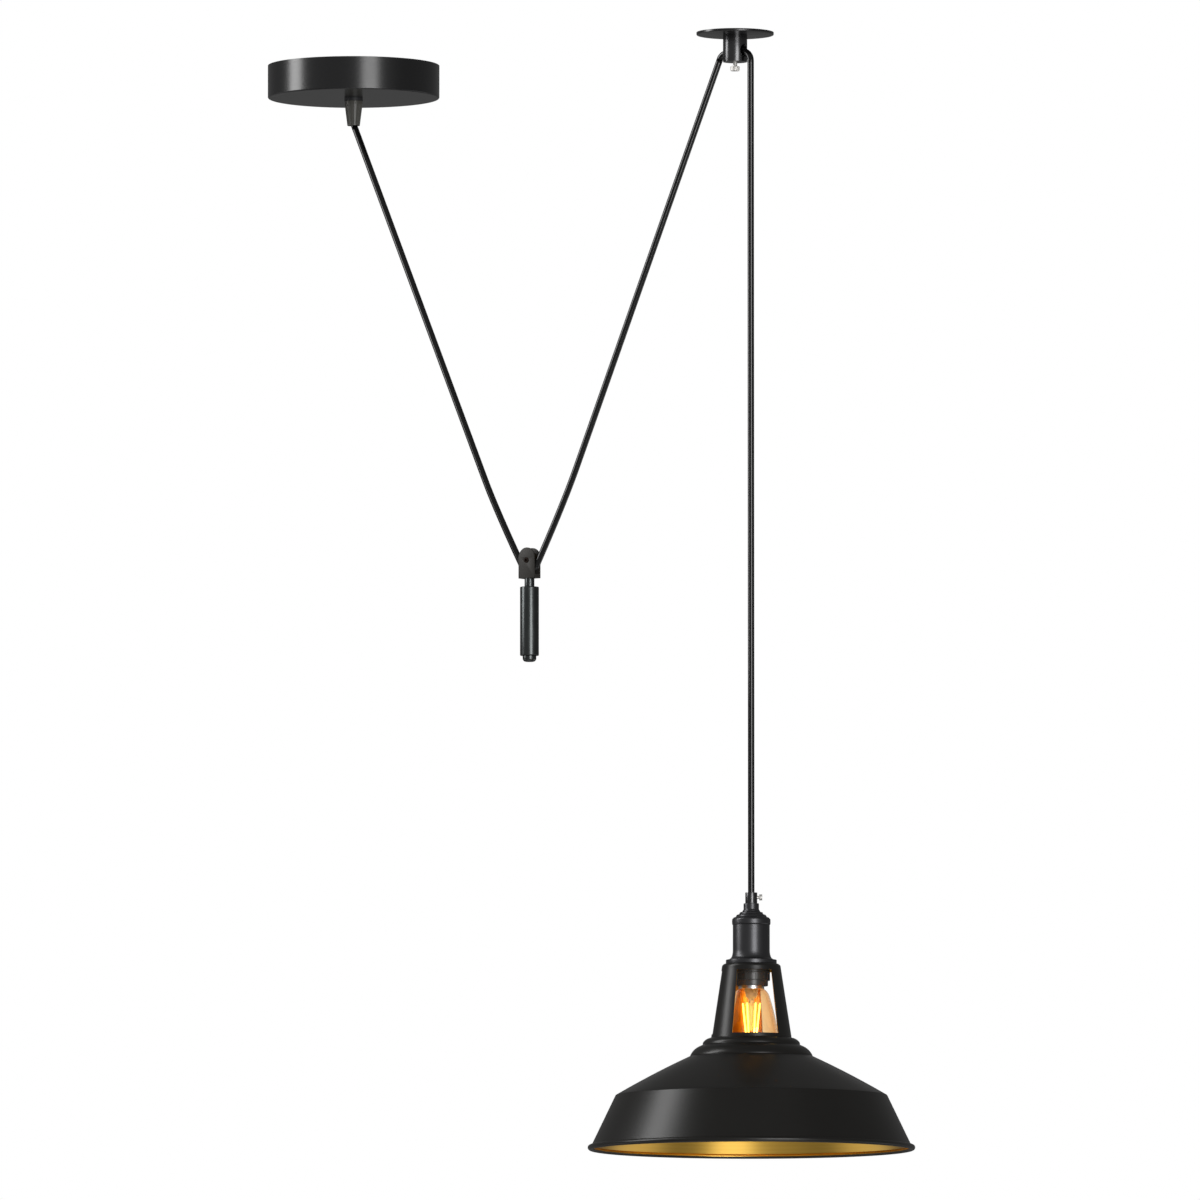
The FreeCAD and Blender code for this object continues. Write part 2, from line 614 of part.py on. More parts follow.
# ---- Ceiling guide ----
def guide_plate():
    """A disc against the ceiling with a spigot for the tube and a countersunk screw hole."""
    plate = disc(PLATE_D, PLATE_Z, 0)
    plate = plate.makeFillet(PLATE_EDGE, rims(plate, PLATE_Z))
    spigot_end = PLATE_Z - SPIGOT_H
    plate = plate.fuse(disc(SPIGOT_D, spigot_end, PLATE_Z)).removeSplitter()
    depth = (PLATE_SINK_D - PLATE_HOLE_D) / 2
    sink = Part.makeCone(PLATE_SINK_D / 2, PLATE_HOLE_D / 2, depth, V(0, 0, spigot_end))
    save("guide_plate", plate.cut(disc(PLATE_HOLE_D, spigot_end - 1, 1)).cut(sink))


def guide_tube():
    """A turned body with a flared cross hole for the cord and a thread below for the lock screw."""
    half = TUBE_D / 2
    body = disc(TUBE_D, TUBE_END, PLATE_Z)
    body = body.cut(disc(SPIGOT_D + 2 * THREAD_GAP, PLATE_Z - SPIGOT_H - SCREW_ROOM, PLATE_Z))
    body = body.cut(rod(CROSS_D, V(-half - 1, 0, -CROSS_Z), V(half + 1, 0, -CROSS_Z)))
    widening = (MOUTH_D - CROSS_D) / 2 / MOUTH_DEPTH
    for side in (-1, 1):
        start = V(side * (half - MOUTH_DEPTH), 0, -CROSS_Z)
        mouth = Part.makeCone(CROSS_D / 2, MOUTH_D / 2 + widening, MOUTH_DEPTH + 1, start, V(side, 0, 0))
        body = body.cut(mouth)
    body = body.cut(disc(LOCK_D + 2 * THREAD_GAP, TUBE_END - 1, -CROSS_Z))
    save("guide_tube", in_plane(body))


def lock_screw():
    tip = -CROSS_Z - CORD_R - CORD_GAP
    head_top = TUBE_END - LOCK_NECK
    head_end = head_top - LOCK_HEAD_H
    head = disc(LOCK_HEAD_D, head_end, head_top)
    head = head.makeFillet(LOCK_EDGE, rims(head, head_end) + rims(head, head_top))
    for knurl in around(disc(KNURL_D, head_end - 1, head_top + 1), KNURLS):
        head = head.cut(moved_out(knurl, LOCK_HEAD_D / 2))
    slot = box(V(2 * LOCK_HEAD_D, LOCK_SLOT_W, 2 * LOCK_SLOT_H), V(0, 0, head_end))
    save("lock_screw", disc(LOCK_D, head_top, tip).fuse(head.cut(slot)).removeSplitter())


# ---- Counterweight ----
def at_axle(shape):
    return in_plane(moved(shape, V(PIN_X, 0, AXLE_Z)))


def at_weight(shape):
    return in_plane(moved(shape, V(PIN_X, 0, 0)))


def across(diameter, low, high):
    """A cylinder along the axle's line."""
    return rod(diameter, V(0, low, 0), V(0, high, 0))


def clevis():
    """A fork with a rounded top and a solid bridge below the cord."""
    half = FORK_T / 2
    crown_z = FORK_TOP - FORK_W / 2
    fork = box(V(FORK_W, FORK_T, crown_z + FORK_BOTTOM), V(0, 0, (crown_z - FORK_BOTTOM) / 2))
    fork = fork.fuse(moved(across(FORK_W, -half, half), V(0, 0, crown_z))).removeSplitter()
    gap_low, gap_top = BRIDGE_T - FORK_BOTTOM, FORK_TOP + 1
    gap = V(2 * FORK_W, FORK_T - 2 * CHEEK_T, gap_top - gap_low)
    gap = box(gap, V(0, 0, (gap_top + gap_low) / 2))
    fork = fork.cut(gap).cut(across(AXLE_D + 2 * THREAD_GAP, -half - 1, half + 1))
    fork = fork.cut(across(AXLE_HEAD_D + 2 * THREAD_GAP, half - AXLE_HEAD_SUNK, half + 1))
    fork = fork.cut(disc(TIE_D + 2 * THREAD_GAP, -FORK_BOTTOM - 1, TIE_END - FORK_BOTTOM))
    save("clevis", at_axle(fork))


def axle_and_sheave():
    half = FORK_T / 2
    head_end = half + AXLE_HEAD_PROUD
    axle = across(AXLE_D, -half, half).fuse(across(AXLE_HEAD_D, half - AXLE_HEAD_SUNK, head_end))
    axle = axle.removeSplitter().cut(across(AXLE_KEY_D, head_end - AXLE_KEY_DEPTH, head_end + 1))
    save("axle_screw", at_axle(axle))
    side = half - CHEEK_T - SHEAVE_SIDE_GAP
    sheave = across(2 * (BIGHT_R - SHEAVE_RIM_INSET), -side, side)
    sheave = sheave.cut(Part.makeTorus(BIGHT_R, CORD_R + CORD_GAP, ORIGIN, V(0, 1, 0)))
    save("sheave", at_axle(sheave.cut(across(AXLE_D + 2 * RUN_GAP, -half, half))))


def weight():
    """Neck spacer, steel cylinder and rounded end cap, held by one tie rod."""
    bore = TIE_D + 2 * THREAD_GAP
    save("neck_spacer", at_weight(ring(NECK_D, bore, WEIGHT_TOP, FORK_END)))
    cylinder = disc(WEIGHT_D, WEIGHT_END, WEIGHT_TOP)
    cylinder = cylinder.makeChamfer(WEIGHT_EDGE, rims(cylinder, WEIGHT_END) + rims(cylinder, WEIGHT_TOP))
    save("weight_cylinder", at_weight(cylinder.cut(disc(bore, WEIGHT_END - 1, WEIGHT_TOP + 1))))
    cap_end = WEIGHT_END - CAP_H
    cap = disc(CAP_D, cap_end, WEIGHT_END)
    cap = cap.makeFillet(CAP_EDGE, rims(cap, cap_end))
    save("weight_cap", at_weight(cap.cut(disc(bore, WEIGHT_END - TIE_END, WEIGHT_END + 1))))
    save("tie_rod", at_weight(disc(TIE_D, WEIGHT_END - TIE_END, FORK_END + TIE_END)))


# ---- Lampholder ----
def along_x(diameter, start, end, height):
    return rod(diameter, V(start, 0, height), V(end, 0, height))


def grip_sleeve():
    """The metal sleeve that holds the cord, its side screw and the nipple below it."""
    nipple_top = SLEEVE_END + NIPPLE_IN_SLEEVE
    screw_z = SLEEVE_TOP - SLEEVE_SCREW_Z
    sleeve = ring(SLEEVE_D, SLEEVE_BORE_D, SLEEVE_END, SLEEVE_TOP)
    sleeve = sleeve.cut(disc(NIPPLE_D + 2 * THREAD_GAP, SLEEVE_END - 1, nipple_top))
    sleeve = sleeve.cut(along_x(SLEEVE_SCREW_D + 2 * THREAD_GAP, 0, SLEEVE_D, screw_z))
    save("grip_sleeve", moved(sleeve, LAMP))
    head = SLEEVE_D / 2 + SLEEVE_SCREW_OUT
    head_end = head + SLEEVE_HEAD_H
    knob = along_x(SLEEVE_HEAD_D, head, head_end, screw_z)
    knob = knob.cut(box(V(2 * SLEEVE_SLOT_H, SLEEVE_SLOT_W, 2 * SLEEVE_HEAD_D), V(head_end, 0, screw_z)))
    screw = along_x(SLEEVE_SCREW_D, CORD_R + CORD_GAP, head, screw_z)
    save("sleeve_screw", moved(screw.fuse(knob).removeSplitter(), LAMP))
    save("nipple", moved(ring(NIPPLE_D, SLEEVE_BORE_D, nipple_top - NIPPLE_L, nipple_top), LAMP))


def holder_cap():
    """The stepped cap: a collar, three rounded steps and a short skirt, hollow from below."""
    bore = NIPPLE_D / 2 + THREAD_GAP
    z = COLLAR_END
    outline = [(bore, SLEEVE_END), (COLLAR_D / 2, SLEEVE_END), (COLLAR_D / 2, z)]
    for radius, height in CAP_STEPS:
        z -= height
        rise = min(2 * STEP_EDGE, 0.8 * height)
        outline += [(radius - STEP_EDGE, z + rise), (radius, z + rise - STEP_EDGE), (radius, z)]
    ceiling = COLLAR_END - 2 * HOLDER_WALL
    inner = CAP_R - HOLDER_WALL
    outline += [(CAP_R, CAP_END), (inner, CAP_END), (inner, z), (CAP_STEP2_R - HOLDER_WALL, z + CAP_STEP3_H),
                (CAP_STEP1_R - HOLDER_WALL, ceiling - HOLDER_WALL), (CAP_STEP1_R - 2 * HOLDER_WALL, ceiling),
                (bore, ceiling)]
    save("holder_cap", moved(turned(outline), LAMP))
    save("nipple_nut", moved(hex_nut(NIPPLE_NUT_AF, NIPPLE_D, ceiling - NIPPLE_NUT_H, ceiling), LAMP))


def holder_shell():
    """The cylindrical shell with its flared foot and the flange that the shade hangs from."""
    bore = SHELL_D / 2 - HOLDER_WALL
    join = CAP_R - HOLDER_WALL - JOIN_GAP
    foot = SOCKET_D / 2 + SOCKET_GAP
    flare = SHELL_D / 2 + FLARE_OUT
    waist = SHELL_D / 2 + FLARE_OUT / 3
    shell = turned([(join, CAP_END + JOIN_H), (join, CAP_END), (SHELL_D / 2, CAP_END),
                    (SHELL_D / 2, SHELL_STRAIGHT_END), (waist, FLANGE_TOP + 0.3 * FLARE_H),
                    (flare, FLANGE_TOP + 0.08 * FLARE_H), (FLANGE_D / 2, FLANGE_TOP),
                    (FLANGE_D / 2, FLANGE_END), (foot, FLANGE_END), (foot, LEDGE), (bore, LEDGE),
                    (bore, CAP_END),
                    (join - HOLDER_WALL, CAP_END), (join - HOLDER_WALL, CAP_END + JOIN_H)])
    save("holder_shell", moved(shell, LAMP))


def socket_body():
    shoulder = SHELL_D / 2 - HOLDER_WALL - SHOULDER_GAP
    body = turned([(0, SOCKET_TOP), (shoulder, SOCKET_TOP), (shoulder, LEDGE), (SOCKET_D / 2, LEDGE),
                   (SOCKET_D / 2, SOCKET_END), (SOCKET_BORE_D / 2, SOCKET_END),
                   (SOCKET_BORE_D / 2, SOCKET_FLOOR), (0, SOCKET_FLOOR)])
    for x in (-POST_X, POST_X):
        hole = disc(POST_SCREW_D + 2 * THREAD_GAP, SOCKET_FLOOR - 1, SOCKET_TOP + 1)
        body = body.cut(moved(hole, V(x, 0, 0)))
    save("socket_body", moved(body, LAMP))


def socket_terminals():
    """Two brass posts on the socket, each with a slotted screw on top."""
    posts, screws = [], []
    top = SOCKET_TOP + POST.z
    wire_z = SOCKET_TOP + POST_WIRE_Z
    for x in (-POST_X, POST_X):
        post = box(POST, V(x, 0, SOCKET_TOP + POST.z / 2))
        post = post.cut(along_x(CORE_D + 2 * WIRE_ROOM, min(x, 0), max(x, 0), wire_z))
        shaft = moved(disc(POST_SCREW_D, SOCKET_TOP - POST_SCREW_L, SOCKET_TOP), V(x, 0, 0))
        posts.append(moved(post.fuse(shaft).removeSplitter(), LAMP))
        head = disc(POST_HEAD_D, top, top + POST_HEAD_H)
        head = head.cut(box(V(2 * POST_HEAD_D, POST_HEAD_D / 6, POST_HEAD_H), V(0, 0, top + POST_HEAD_H)))
        screws.append(moved(head, LAMP + V(x, 0, 0)))
    save("socket_terminals", Part.makeCompound(posts))
    save("socket_terminal_screws", Part.makeCompound(screws))


def socket_contacts():
    """The threaded shell as a plain tube, and the spring tongue for the bulb's tip."""
    shell_end = SOCKET_END + CONTACT_INSET
    save("contact_shell", moved(ring(CONTACT_D, CONTACT_D - 2 * CONTACT_T, shell_end, SOCKET_FLOOR), LAMP))
    low = SOCKET_FLOOR - TONGUE_H
    points = [V(2 - TONGUE_L, 0, SOCKET_FLOOR), V(2 - TONGUE_L, 0, SOCKET_FLOOR - TONGUE_T), V(-2, 0, low),
              V(2, 0, low), V(2, 0, low + TONGUE_T), V(-1.6, 0, low + TONGUE_T),
              V(4 - TONGUE_L, 0, SOCKET_FLOOR)]
    tongue = Part.Face(Part.makePolygon(points + points[:1])).extrude(V(0, TONGUE_W, 0))
    save("centre_contact", moved(tongue, LAMP + V(0, -TONGUE_W / 2, 0)))


def lamp_cores():
    """Two cores from the cord's end to the socket's terminals."""
    low = SOCKET_TOP + POST_WIRE_Z
    for name, side in (("lamp_core_live", 1), ("lamp_core_neutral", -1)):
        points = [V(side * CORE_OFF, 0, CORD_END_Z), V(side * CORE_OFF, 0, low + 2 * LAMP_CORE_BEND),
                  V(side * (CORE_OFF + LAMP_CORE_BEND), 0, low), V(side * (POST_X - 1), 0, low)]
        bends = [LAMP_CORE_BEND, LAMP_CORE_BEND]
        save(name, tube(name, CORE_D, [LAMP + point for point in points], bends))


def shade_ring():
    """The panelled ring that screws up the socket and holds the shade against the flange."""
    inner = SOCKET_D / 2 + RING_GAP
    outer = RING_D / 2
    nose = RING_NOSE_D / 2
    flange_end = RING_TOP - RING_FLANGE_H
    nose_top = RING_END + RING_NOSE_H
    body = turned([(inner, RING_TOP), (outer + RING_LIP, RING_TOP), (outer + RING_LIP, flange_end),
                   (outer, flange_end), (outer, nose_top + RING_EDGE), (outer - RING_EDGE, nose_top),
                   (nose, nose_top), (nose, RING_END + RING_EDGE), (nose - RING_EDGE, RING_END),
                   (inner, RING_END)])
    low = nose_top + PANEL_LAND
    sunk, high = outer - PANEL_DEPTH, low + PANEL_H
    cut = [V(sunk, 0, low), V(outer + 1, 0, low), V(outer + 1, 0, high), V(sunk, 0, high)]
    pitch = 360 / RING_PANELS
    wedge = Part.Face(Part.makePolygon(cut + cut[:1])).revolve(ORIGIN, UP, pitch - RIB_ARC)
    for panel in around(wedge, RING_PANELS, RIB_TURN + RIB_ARC / 2):
        body = body.cut(panel)
    save("shade_ring", moved(body, LAMP))


# ---- Shade ----
def shade_outline():
    """The shade's outer line from its hole to the rim, as edges in the XZ plane."""
    line, arc = Part.LineSegment, Part.Arc
    hole = SOCKET_D / 2 + 2 * RING_GAP
    p = [V(hole, 0, FLANGE_END), V(SHADE_TOP_R, 0, FLANGE_END), V(NECK_TOP_R, 0, NECK_TOP_Z),
         V(NECK_END_R, 0, STEP1_TOP), V(STEP1_R, 0, STEP2_TOP + STEP1_LAND), V(STEP1_R, 0, STEP2_TOP),
         V(STEP1_R + STEP_LEDGE_R, 0, STEP2_TOP - STEP_LEDGE_H), V(STEP2_R, 0, CONE_TOP + STEP2_LAND),
         V(STEP2_R, 0, CONE_TOP), V(CONE_R, 0, CREASE_Z), V(BAND_R, 0, BEAD_Z)]

    def bulge(a, b, share):
        """An arc from a to b that stands out by a share of their distance."""
        middle = (a + b) * 0.5
        out = V(-(b - a).z, 0, (b - a).x)
        return arc(a, middle + out * share, b)

    return [line(p[0], p[1]), bulge(p[1], p[2], SHOULDER_BULGE), line(p[2], p[3]),
            bulge(p[3], p[4], STEP1_BULGE), line(p[4], p[5]), line(p[5], p[6]),
            bulge(p[6], p[7], STEP2_BULGE), line(p[7], p[8]), bulge(p[8], p[9], CONE_BULGE),
            line(p[9], p[10])]


def above_crease():
    """All that lies inside the mitre between the shade's cone and its band."""
    crease = V(CONE_R, 0, CREASE_Z)
    cone_way = (crease - V(STEP2_R, 0, CONE_TOP)).normalize()
    band_way = (V(BAND_R, 0, BEAD_Z) - crease).normalize()
    mitre = (band_way - cone_way).normalize() * BEAD_D
    low, out = crease + mitre, crease - mitre
    return turned([(0, FLANGE_END + 1), (0, low.z), (low.x, low.z), (out.x, out.z), (out.x, FLANGE_END + 1)])


def shade():
    """One spun shade, as three stretches that meet at its ridges: neck with steps, cone, and band."""
    line = Part.Wire([edge.toShape() for edge in shade_outline()])
    skin = line.makeOffset2D(-SHADE_WALL, 0, True, True)
    body = skin.revolve(ORIGIN, UP, 360)
    body = body.fuse(Part.makeTorus(BAND_R, BEAD_D / 2, V(0, 0, BEAD_Z))).removeSplitter()
    low, high = STEP1_TOP + WINDOW_CLEAR, FLANGE_END - WINDOW_TOP
    cut = [V(1, 0, low), V(2 * NECK_END_R, 0, low), V(2 * NECK_END_R, 0, high), V(1, 0, high)]
    wedge = Part.Face(Part.makePolygon(cut + cut[:1])).revolve(ORIGIN, UP, WINDOW_ARC)
    for window in around(wedge, WINDOWS, WINDOW_TURN - WINDOW_ARC / 2):
        body = body.cut(window)
    print(f"shade: volume {body.Volume:.0f}, solids {len(body.Solids)}, valid {body.isValid()}")
    inside, top = above_crease(), disc(2 * BAND_R, CONE_TOP, FLANGE_END + 1)
    save("shade_neck", moved(body.common(top), LAMP))
    save("shade_cone", moved(body.common(inside).cut(top), LAMP))
    save("shade_band", moved(body.cut(inside), LAMP))


# ---- Lamp bulb ----
def bulb_cap():
    inner = BULB_CAP_D / 2 - BULB_CAP_T
    roof = BULB_CAP_TOP - BULB_CAP_T
    cap = turned([(BULB_CAP_D / 2, BULB_CAP_TOP), (BULB_CAP_D / 2, BULB_SKIRT_TOP),
                  (BULB_SKIRT_D / 2, BULB_SKIRT_TOP), (BULB_SKIRT_D / 2, BULB_NECK_Z), (inner, BULB_NECK_Z),
                  (inner, roof), (INSULATOR_D / 2, roof), (INSULATOR_D / 2, BULB_CAP_TOP)])
    save("bulb_cap", moved(cap, LAMP))
    insulator = Part.makeCone(INSULATOR_D / 2, TIP_D / 2, INSULATOR_H, V(0, 0, BULB_CAP_TOP))
    save("bulb_insulator", moved(insulator, LAMP))
    save("bulb_tip", moved(disc(TIP_D, BULB_TIP_Z - TIP_H, BULB_TIP_Z), LAMP))


def envelope(inset):
    """The glass as a solid: a rounded shoulder, a side that swells slowly and a round end."""
    radius = BULB_D / 2 - inset
    neck, inside = V(0, 0, BULB_NECK_Z), V(inset, 0, 0)
    centre = V(0, 0, BULB_END + BULB_D / 2)
    mouth = V(BULB_NECK_D / 2, 0, BULB_NECK_Z) - inside
    curve, shoulder = neck + BULB_CURVE - inside, neck + BULB_SHOULDER - inside
    swell, drop = radius - shoulder.x, shoulder.z - centre.z
    side_r = (swell ** 2 + drop ** 2) / (2 * swell)
    half = math.asin(drop / side_r) / 2
    side = centre + V(radius - side_r * (1 - math.cos(half)), 0, side_r * math.sin(half))
    widest, end = centre + V(radius, 0, 0), centre - UP * radius
    low = centre + V(radius * math.cos(math.pi / 4), 0, -radius * math.sin(math.pi / 4))
    edges = [Part.LineSegment(neck, mouth), Part.Arc(mouth, curve, shoulder),
             Part.Arc(shoulder, side, widest), Part.Arc(widest, low, end), Part.LineSegment(end, neck)]
    return Part.Face(Part.Wire([edge.toShape() for edge in edges])).revolve(ORIGIN, UP, 360)


def bulb_inside():
    """The glass stem, the filaments and the wires that carry them from the stem."""
    stem_end = BULB_NECK_Z - STEM_L
    stem = Part.makeCone(STEM_END_D / 2, STEM_D / 2, STEM_L, V(0, 0, stem_end))
    foot_r = BULB_CAP_D / 2 - BULB_CAP_T - STEM_FOOT_GAP
    foot = Part.makeCone(STEM_D / 2, foot_r, STEM_FOOT_H, V(0, 0, BULB_NECK_Z))
    stem = stem.fuse(foot).removeSplitter()
    save("bulb_stem", moved(stem, LAMP))
    top = BULB_NECK_Z - FILAMENT_DROP
    low = top - FILAMENT_L
    sticks = []
    wires = rod(WIRE_D, V(0, 0, stem_end), V(0, 0, low))
    for index in range(FILAMENTS):
        turn = 2 * math.pi * index / FILAMENTS
        out = V(math.cos(turn), math.sin(turn), 0)
        upper, lower = out * FILAMENT_TOP_R + V(0, 0, top), out * FILAMENT_END_R + V(0, 0, low)
        sticks.append(rod(FILAMENT_D, upper, lower))
        wires = wires.fuse([rod(WIRE_D, V(0, 0, top), upper), rod(WIRE_D, V(0, 0, low), lower)])
    wires = wires.cut([stem] + sticks)
    save("bulb_filaments", moved(Part.makeCompound(sticks), LAMP))
    save("filament_wires", moved(Part.makeCompound(wires.Solids), LAMP))


def main():
    os.makedirs("parts", exist_ok=True)
    cords()
    for make in (canopy_cup, mounting_bracket, canopy_screws, terminal_block, earth_terminal, canopy_cores,
                 canopy_grip, guide_plate, guide_tube, lock_screw, clevis, axle_and_sheave, weight,
                 grip_sleeve, holder_cap, holder_shell, socket_body, socket_terminals, socket_contacts,
                 lamp_cores, shade_ring, shade, bulb_cap, bulb_inside):
        make()
    save("bulb_glass", moved(envelope(0).cut(envelope(GLASS_T)), LAMP))


main()
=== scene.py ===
# %% [markdown]
# # A rise and fall pendant, dressed in Blender
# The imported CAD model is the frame: every body, joint and solid is already in its place, in metres,
# with +Z up and the ceiling at height 0. This script adds what the eye sees: the braided cord, the
# spun shade, the glass bulb, the paints and the metals. A piece that replaces a solid stays exactly
# where the solid is, so that the joints still move it properly.

# %% Load the frame
import bpy
import math
from mathutils import Matrix, Vector


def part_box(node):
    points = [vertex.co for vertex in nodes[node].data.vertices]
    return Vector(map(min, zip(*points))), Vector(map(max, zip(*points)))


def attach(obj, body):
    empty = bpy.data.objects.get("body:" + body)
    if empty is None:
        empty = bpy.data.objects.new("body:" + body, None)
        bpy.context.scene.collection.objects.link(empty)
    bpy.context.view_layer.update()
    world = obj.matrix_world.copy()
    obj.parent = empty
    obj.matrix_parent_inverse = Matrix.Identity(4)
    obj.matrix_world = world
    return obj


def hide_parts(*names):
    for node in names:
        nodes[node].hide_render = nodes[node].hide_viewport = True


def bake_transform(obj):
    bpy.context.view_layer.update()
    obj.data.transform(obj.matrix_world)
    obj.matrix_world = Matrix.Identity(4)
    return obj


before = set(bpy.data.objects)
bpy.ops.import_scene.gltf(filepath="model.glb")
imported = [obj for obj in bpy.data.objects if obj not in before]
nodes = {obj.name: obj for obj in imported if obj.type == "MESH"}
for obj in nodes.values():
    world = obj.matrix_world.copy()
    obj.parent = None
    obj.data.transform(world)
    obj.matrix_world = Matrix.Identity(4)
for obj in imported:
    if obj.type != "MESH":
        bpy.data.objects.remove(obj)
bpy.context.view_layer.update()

# %% [markdown]
# The cord hangs in one upright plane that runs from the ceiling guide back and left to the canopy.
# Sizes are easiest to read in millimetres, so one factor turns them into Blender's metres, and one
# small function gives a point of that plane from its distance along it and its height.

# %% Places that everything hangs from
MM = 0.001
PLAN_ANGLE = math.radians(142.95)
PLAN = Vector((math.cos(PLAN_ANGLE), math.sin(PLAN_ANGLE), 0))
ACROSS = Vector((-PLAN.y, PLAN.x, 0))


def plane_point(along, height):
    return (PLAN * along + Vector((0, 0, height))) * MM


LAMP_OUT, WEIGHT_OUT, CANOPY_OUT = -21.4, 285.7, 534.5
LAMP_AXIS = plane_point(LAMP_OUT, 0)
WEIGHT_AXIS = plane_point(WEIGHT_OUT, 0)
print("lamp axis", LAMP_AXIS, "weight axis", WEIGHT_AXIS)

# %% [markdown]
# The photograph was taken from far away and from below, with a long lens: the rim of the shade is a
# thin ellipse, and we look up into it a little. The camera stands nearly 20 m back, tilted up by
# 4.9 degrees, which is why its lens is so long.

# %% Camera
DISTANCE, TILT = 19.4, 4.8605
camera_data = bpy.data.cameras.new("photo_camera")
camera_data.sensor_width = 36.0
camera_data.lens = 529.26
camera_data.clip_end = 100
camera = bpy.data.objects.new("photo_camera", camera_data)
camera.location = (-0.1495, -DISTANCE, -2.28)
camera.rotation_euler = (math.radians(90 + TILT), 0, 0)
bpy.context.scene.collection.objects.link(camera)
bpy.context.scene.camera = camera
print("camera ready")

# %% [markdown]
# One 7.2 mm cord does all the work. It leaves the canopy, runs down to the sheave of the
# counterweight, back up to the guide in the ceiling, and straight down to the lampholder. It is
# taut everywhere, because the lamp and the counterweight pull on it. Its route is the same list of
# points as the solid model's, and a smooth NURBS line with those points as its control points is
# the cord's centre.

# %% Route of the cord
CORD_D = 7.2
GRIP_END, SHEAVE_LEFT, SHEAVE_RIGHT = (533.25, -68.76), (295.80, -577.20), (275.60, -577.20)
GUIDE_LEFT, GUIDE_RIGHT = (20.80, -28.15), (LAMP_OUT, -33.50)
ROUTES = {
    "cord_at_canopy": [(CANOPY_OUT, -20.8), (CANOPY_OUT, -66.0), GRIP_END],
    "cord_down_to_sheave": [GRIP_END, (363.63, -443.56), (332.68, -511.90), SHEAVE_LEFT],
    "cord_round_sheave": [SHEAVE_LEFT, (292.47, -583.10), (278.93, -583.10), SHEAVE_RIGHT],
    "cord_up_to_guide": [GUIDE_LEFT, (204.52, -436.95), (238.72, -511.90), SHEAVE_RIGHT],
    "cord_through_guide": [GUIDE_LEFT, (17.30, -20.50), (LAMP_OUT, -20.50), GUIDE_RIGHT],
    "cord_to_lamp": [GUIDE_RIGHT, (LAMP_OUT, -76.70), (LAMP_OUT, -984.0)],
}


def smooth_line(name, route, samples):
    """Points along the NURBS line whose control points are the route's."""
    curve = bpy.data.curves.new(name, "CURVE")
    curve.dimensions = "3D"
    curve.resolution_u = samples
    spline = curve.splines.new("NURBS")
    spline.points.add(len(route) - 1)
    for point, place in zip(spline.points, route):
        point.co = (*plane_point(*place), 1)
    spline.order_u = 3
    spline.use_endpoint_u = True
    holder = bpy.data.objects.new(name, curve)
    bpy.context.scene.collection.objects.link(holder)
    line_mesh = bpy.data.meshes.new_from_object(holder)
    line = [vertex.co.copy() for vertex in line_mesh.vertices]
    bpy.data.objects.remove(holder)
    bpy.data.curves.remove(curve)
    bpy.data.meshes.remove(line_mesh)
    return line


def line_length(line):
    return sum((b - a).length for a, b in zip(line, line[1:]))


cord_lines = {name: smooth_line(name, route, 96 if len(route) > 3 else 64)
              for name, route in ROUTES.items()}
for name, line in cord_lines.items():
    print(name, len(line), "points,", round(line_length(line) / MM, 1), "mm")

# %% [markdown]
# The cord is a mesh tube: a ring of points round each point of the line. The whole cord lies in one
# plane, so the plane's normal is a good fixed side for every ring and the tube never twists. Its UV
# map holds what the braid needs: how far round, and how many metres along.

# %% Tube with a UV map that knows its real length
CORD_SIDES = 32


def cord_tube(name, line, travelled):
    radius = CORD_D / 2 * MM
    vertices, lengths = [], []
    for index, centre in enumerate(line):
        ahead = line[min(index + 1, len(line) - 1)] - line[max(index - 1, 0)]
        up = ahead.normalized().cross(ACROSS)
        if index:
            travelled += (centre - line[index - 1]).length
        lengths.append(travelled)
        for side in range(CORD_SIDES):
            turn = 2 * math.pi * side / CORD_SIDES
            vertices.append(centre + (ACROSS * math.cos(turn) + up * math.sin(turn)) * radius)
    faces, coordinates = [], []
    for ring in range(len(line) - 1):
        for side in range(CORD_SIDES):
            a, b = ring * CORD_SIDES + side, ring * CORD_SIDES + (side + 1) % CORD_SIDES
            faces.append((a, b, b + CORD_SIDES, a + CORD_SIDES))
            left, right = side / CORD_SIDES, (side + 1) / CORD_SIDES
            coordinates += [(left, lengths[ring]), (right, lengths[ring]),
                            (right, lengths[ring + 1]), (left, lengths[ring + 1])]
    faces.append(tuple(reversed(range(CORD_SIDES))))
    faces.append(tuple(range(len(vertices) - CORD_SIDES, len(vertices))))
    coordinates += [(0, lengths[0])] * CORD_SIDES + [(0, lengths[-1])] * CORD_SIDES
    mesh = bpy.data.meshes.new(name)
    mesh.from_pydata(vertices, [], faces)
    layer = mesh.uv_layers.new(name="along_the_cord")
    for loop, place in zip(layer.data, coordinates):
        loop.uv = place
    mesh.polygons.foreach_set("use_smooth", [len(face) == 4 for face in faces])
    piece = bpy.data.objects.new(name, mesh)
    bpy.context.scene.collection.objects.link(piece)
    return piece


print("tube helper ready, sides:", CORD_SIDES)

# %% [markdown]
# Materials are built from nodes. Colours are written as they look on a screen, in hex, and one
# function makes them linear. One more function adds a node with its settings and its links. The
# last one is for what most finishes share: a pattern that varies their tone, gloss and relief.

# %% Helpers for materials
def linear(hex_colour):
    channels = [int(hex_colour[i:i + 2], 16) / 255 for i in (1, 3, 5)]
    return (*[c / 12.92 if c <= 0.04045 else ((c + 0.055) / 1.055) ** 2.4 for c in channels], 1)


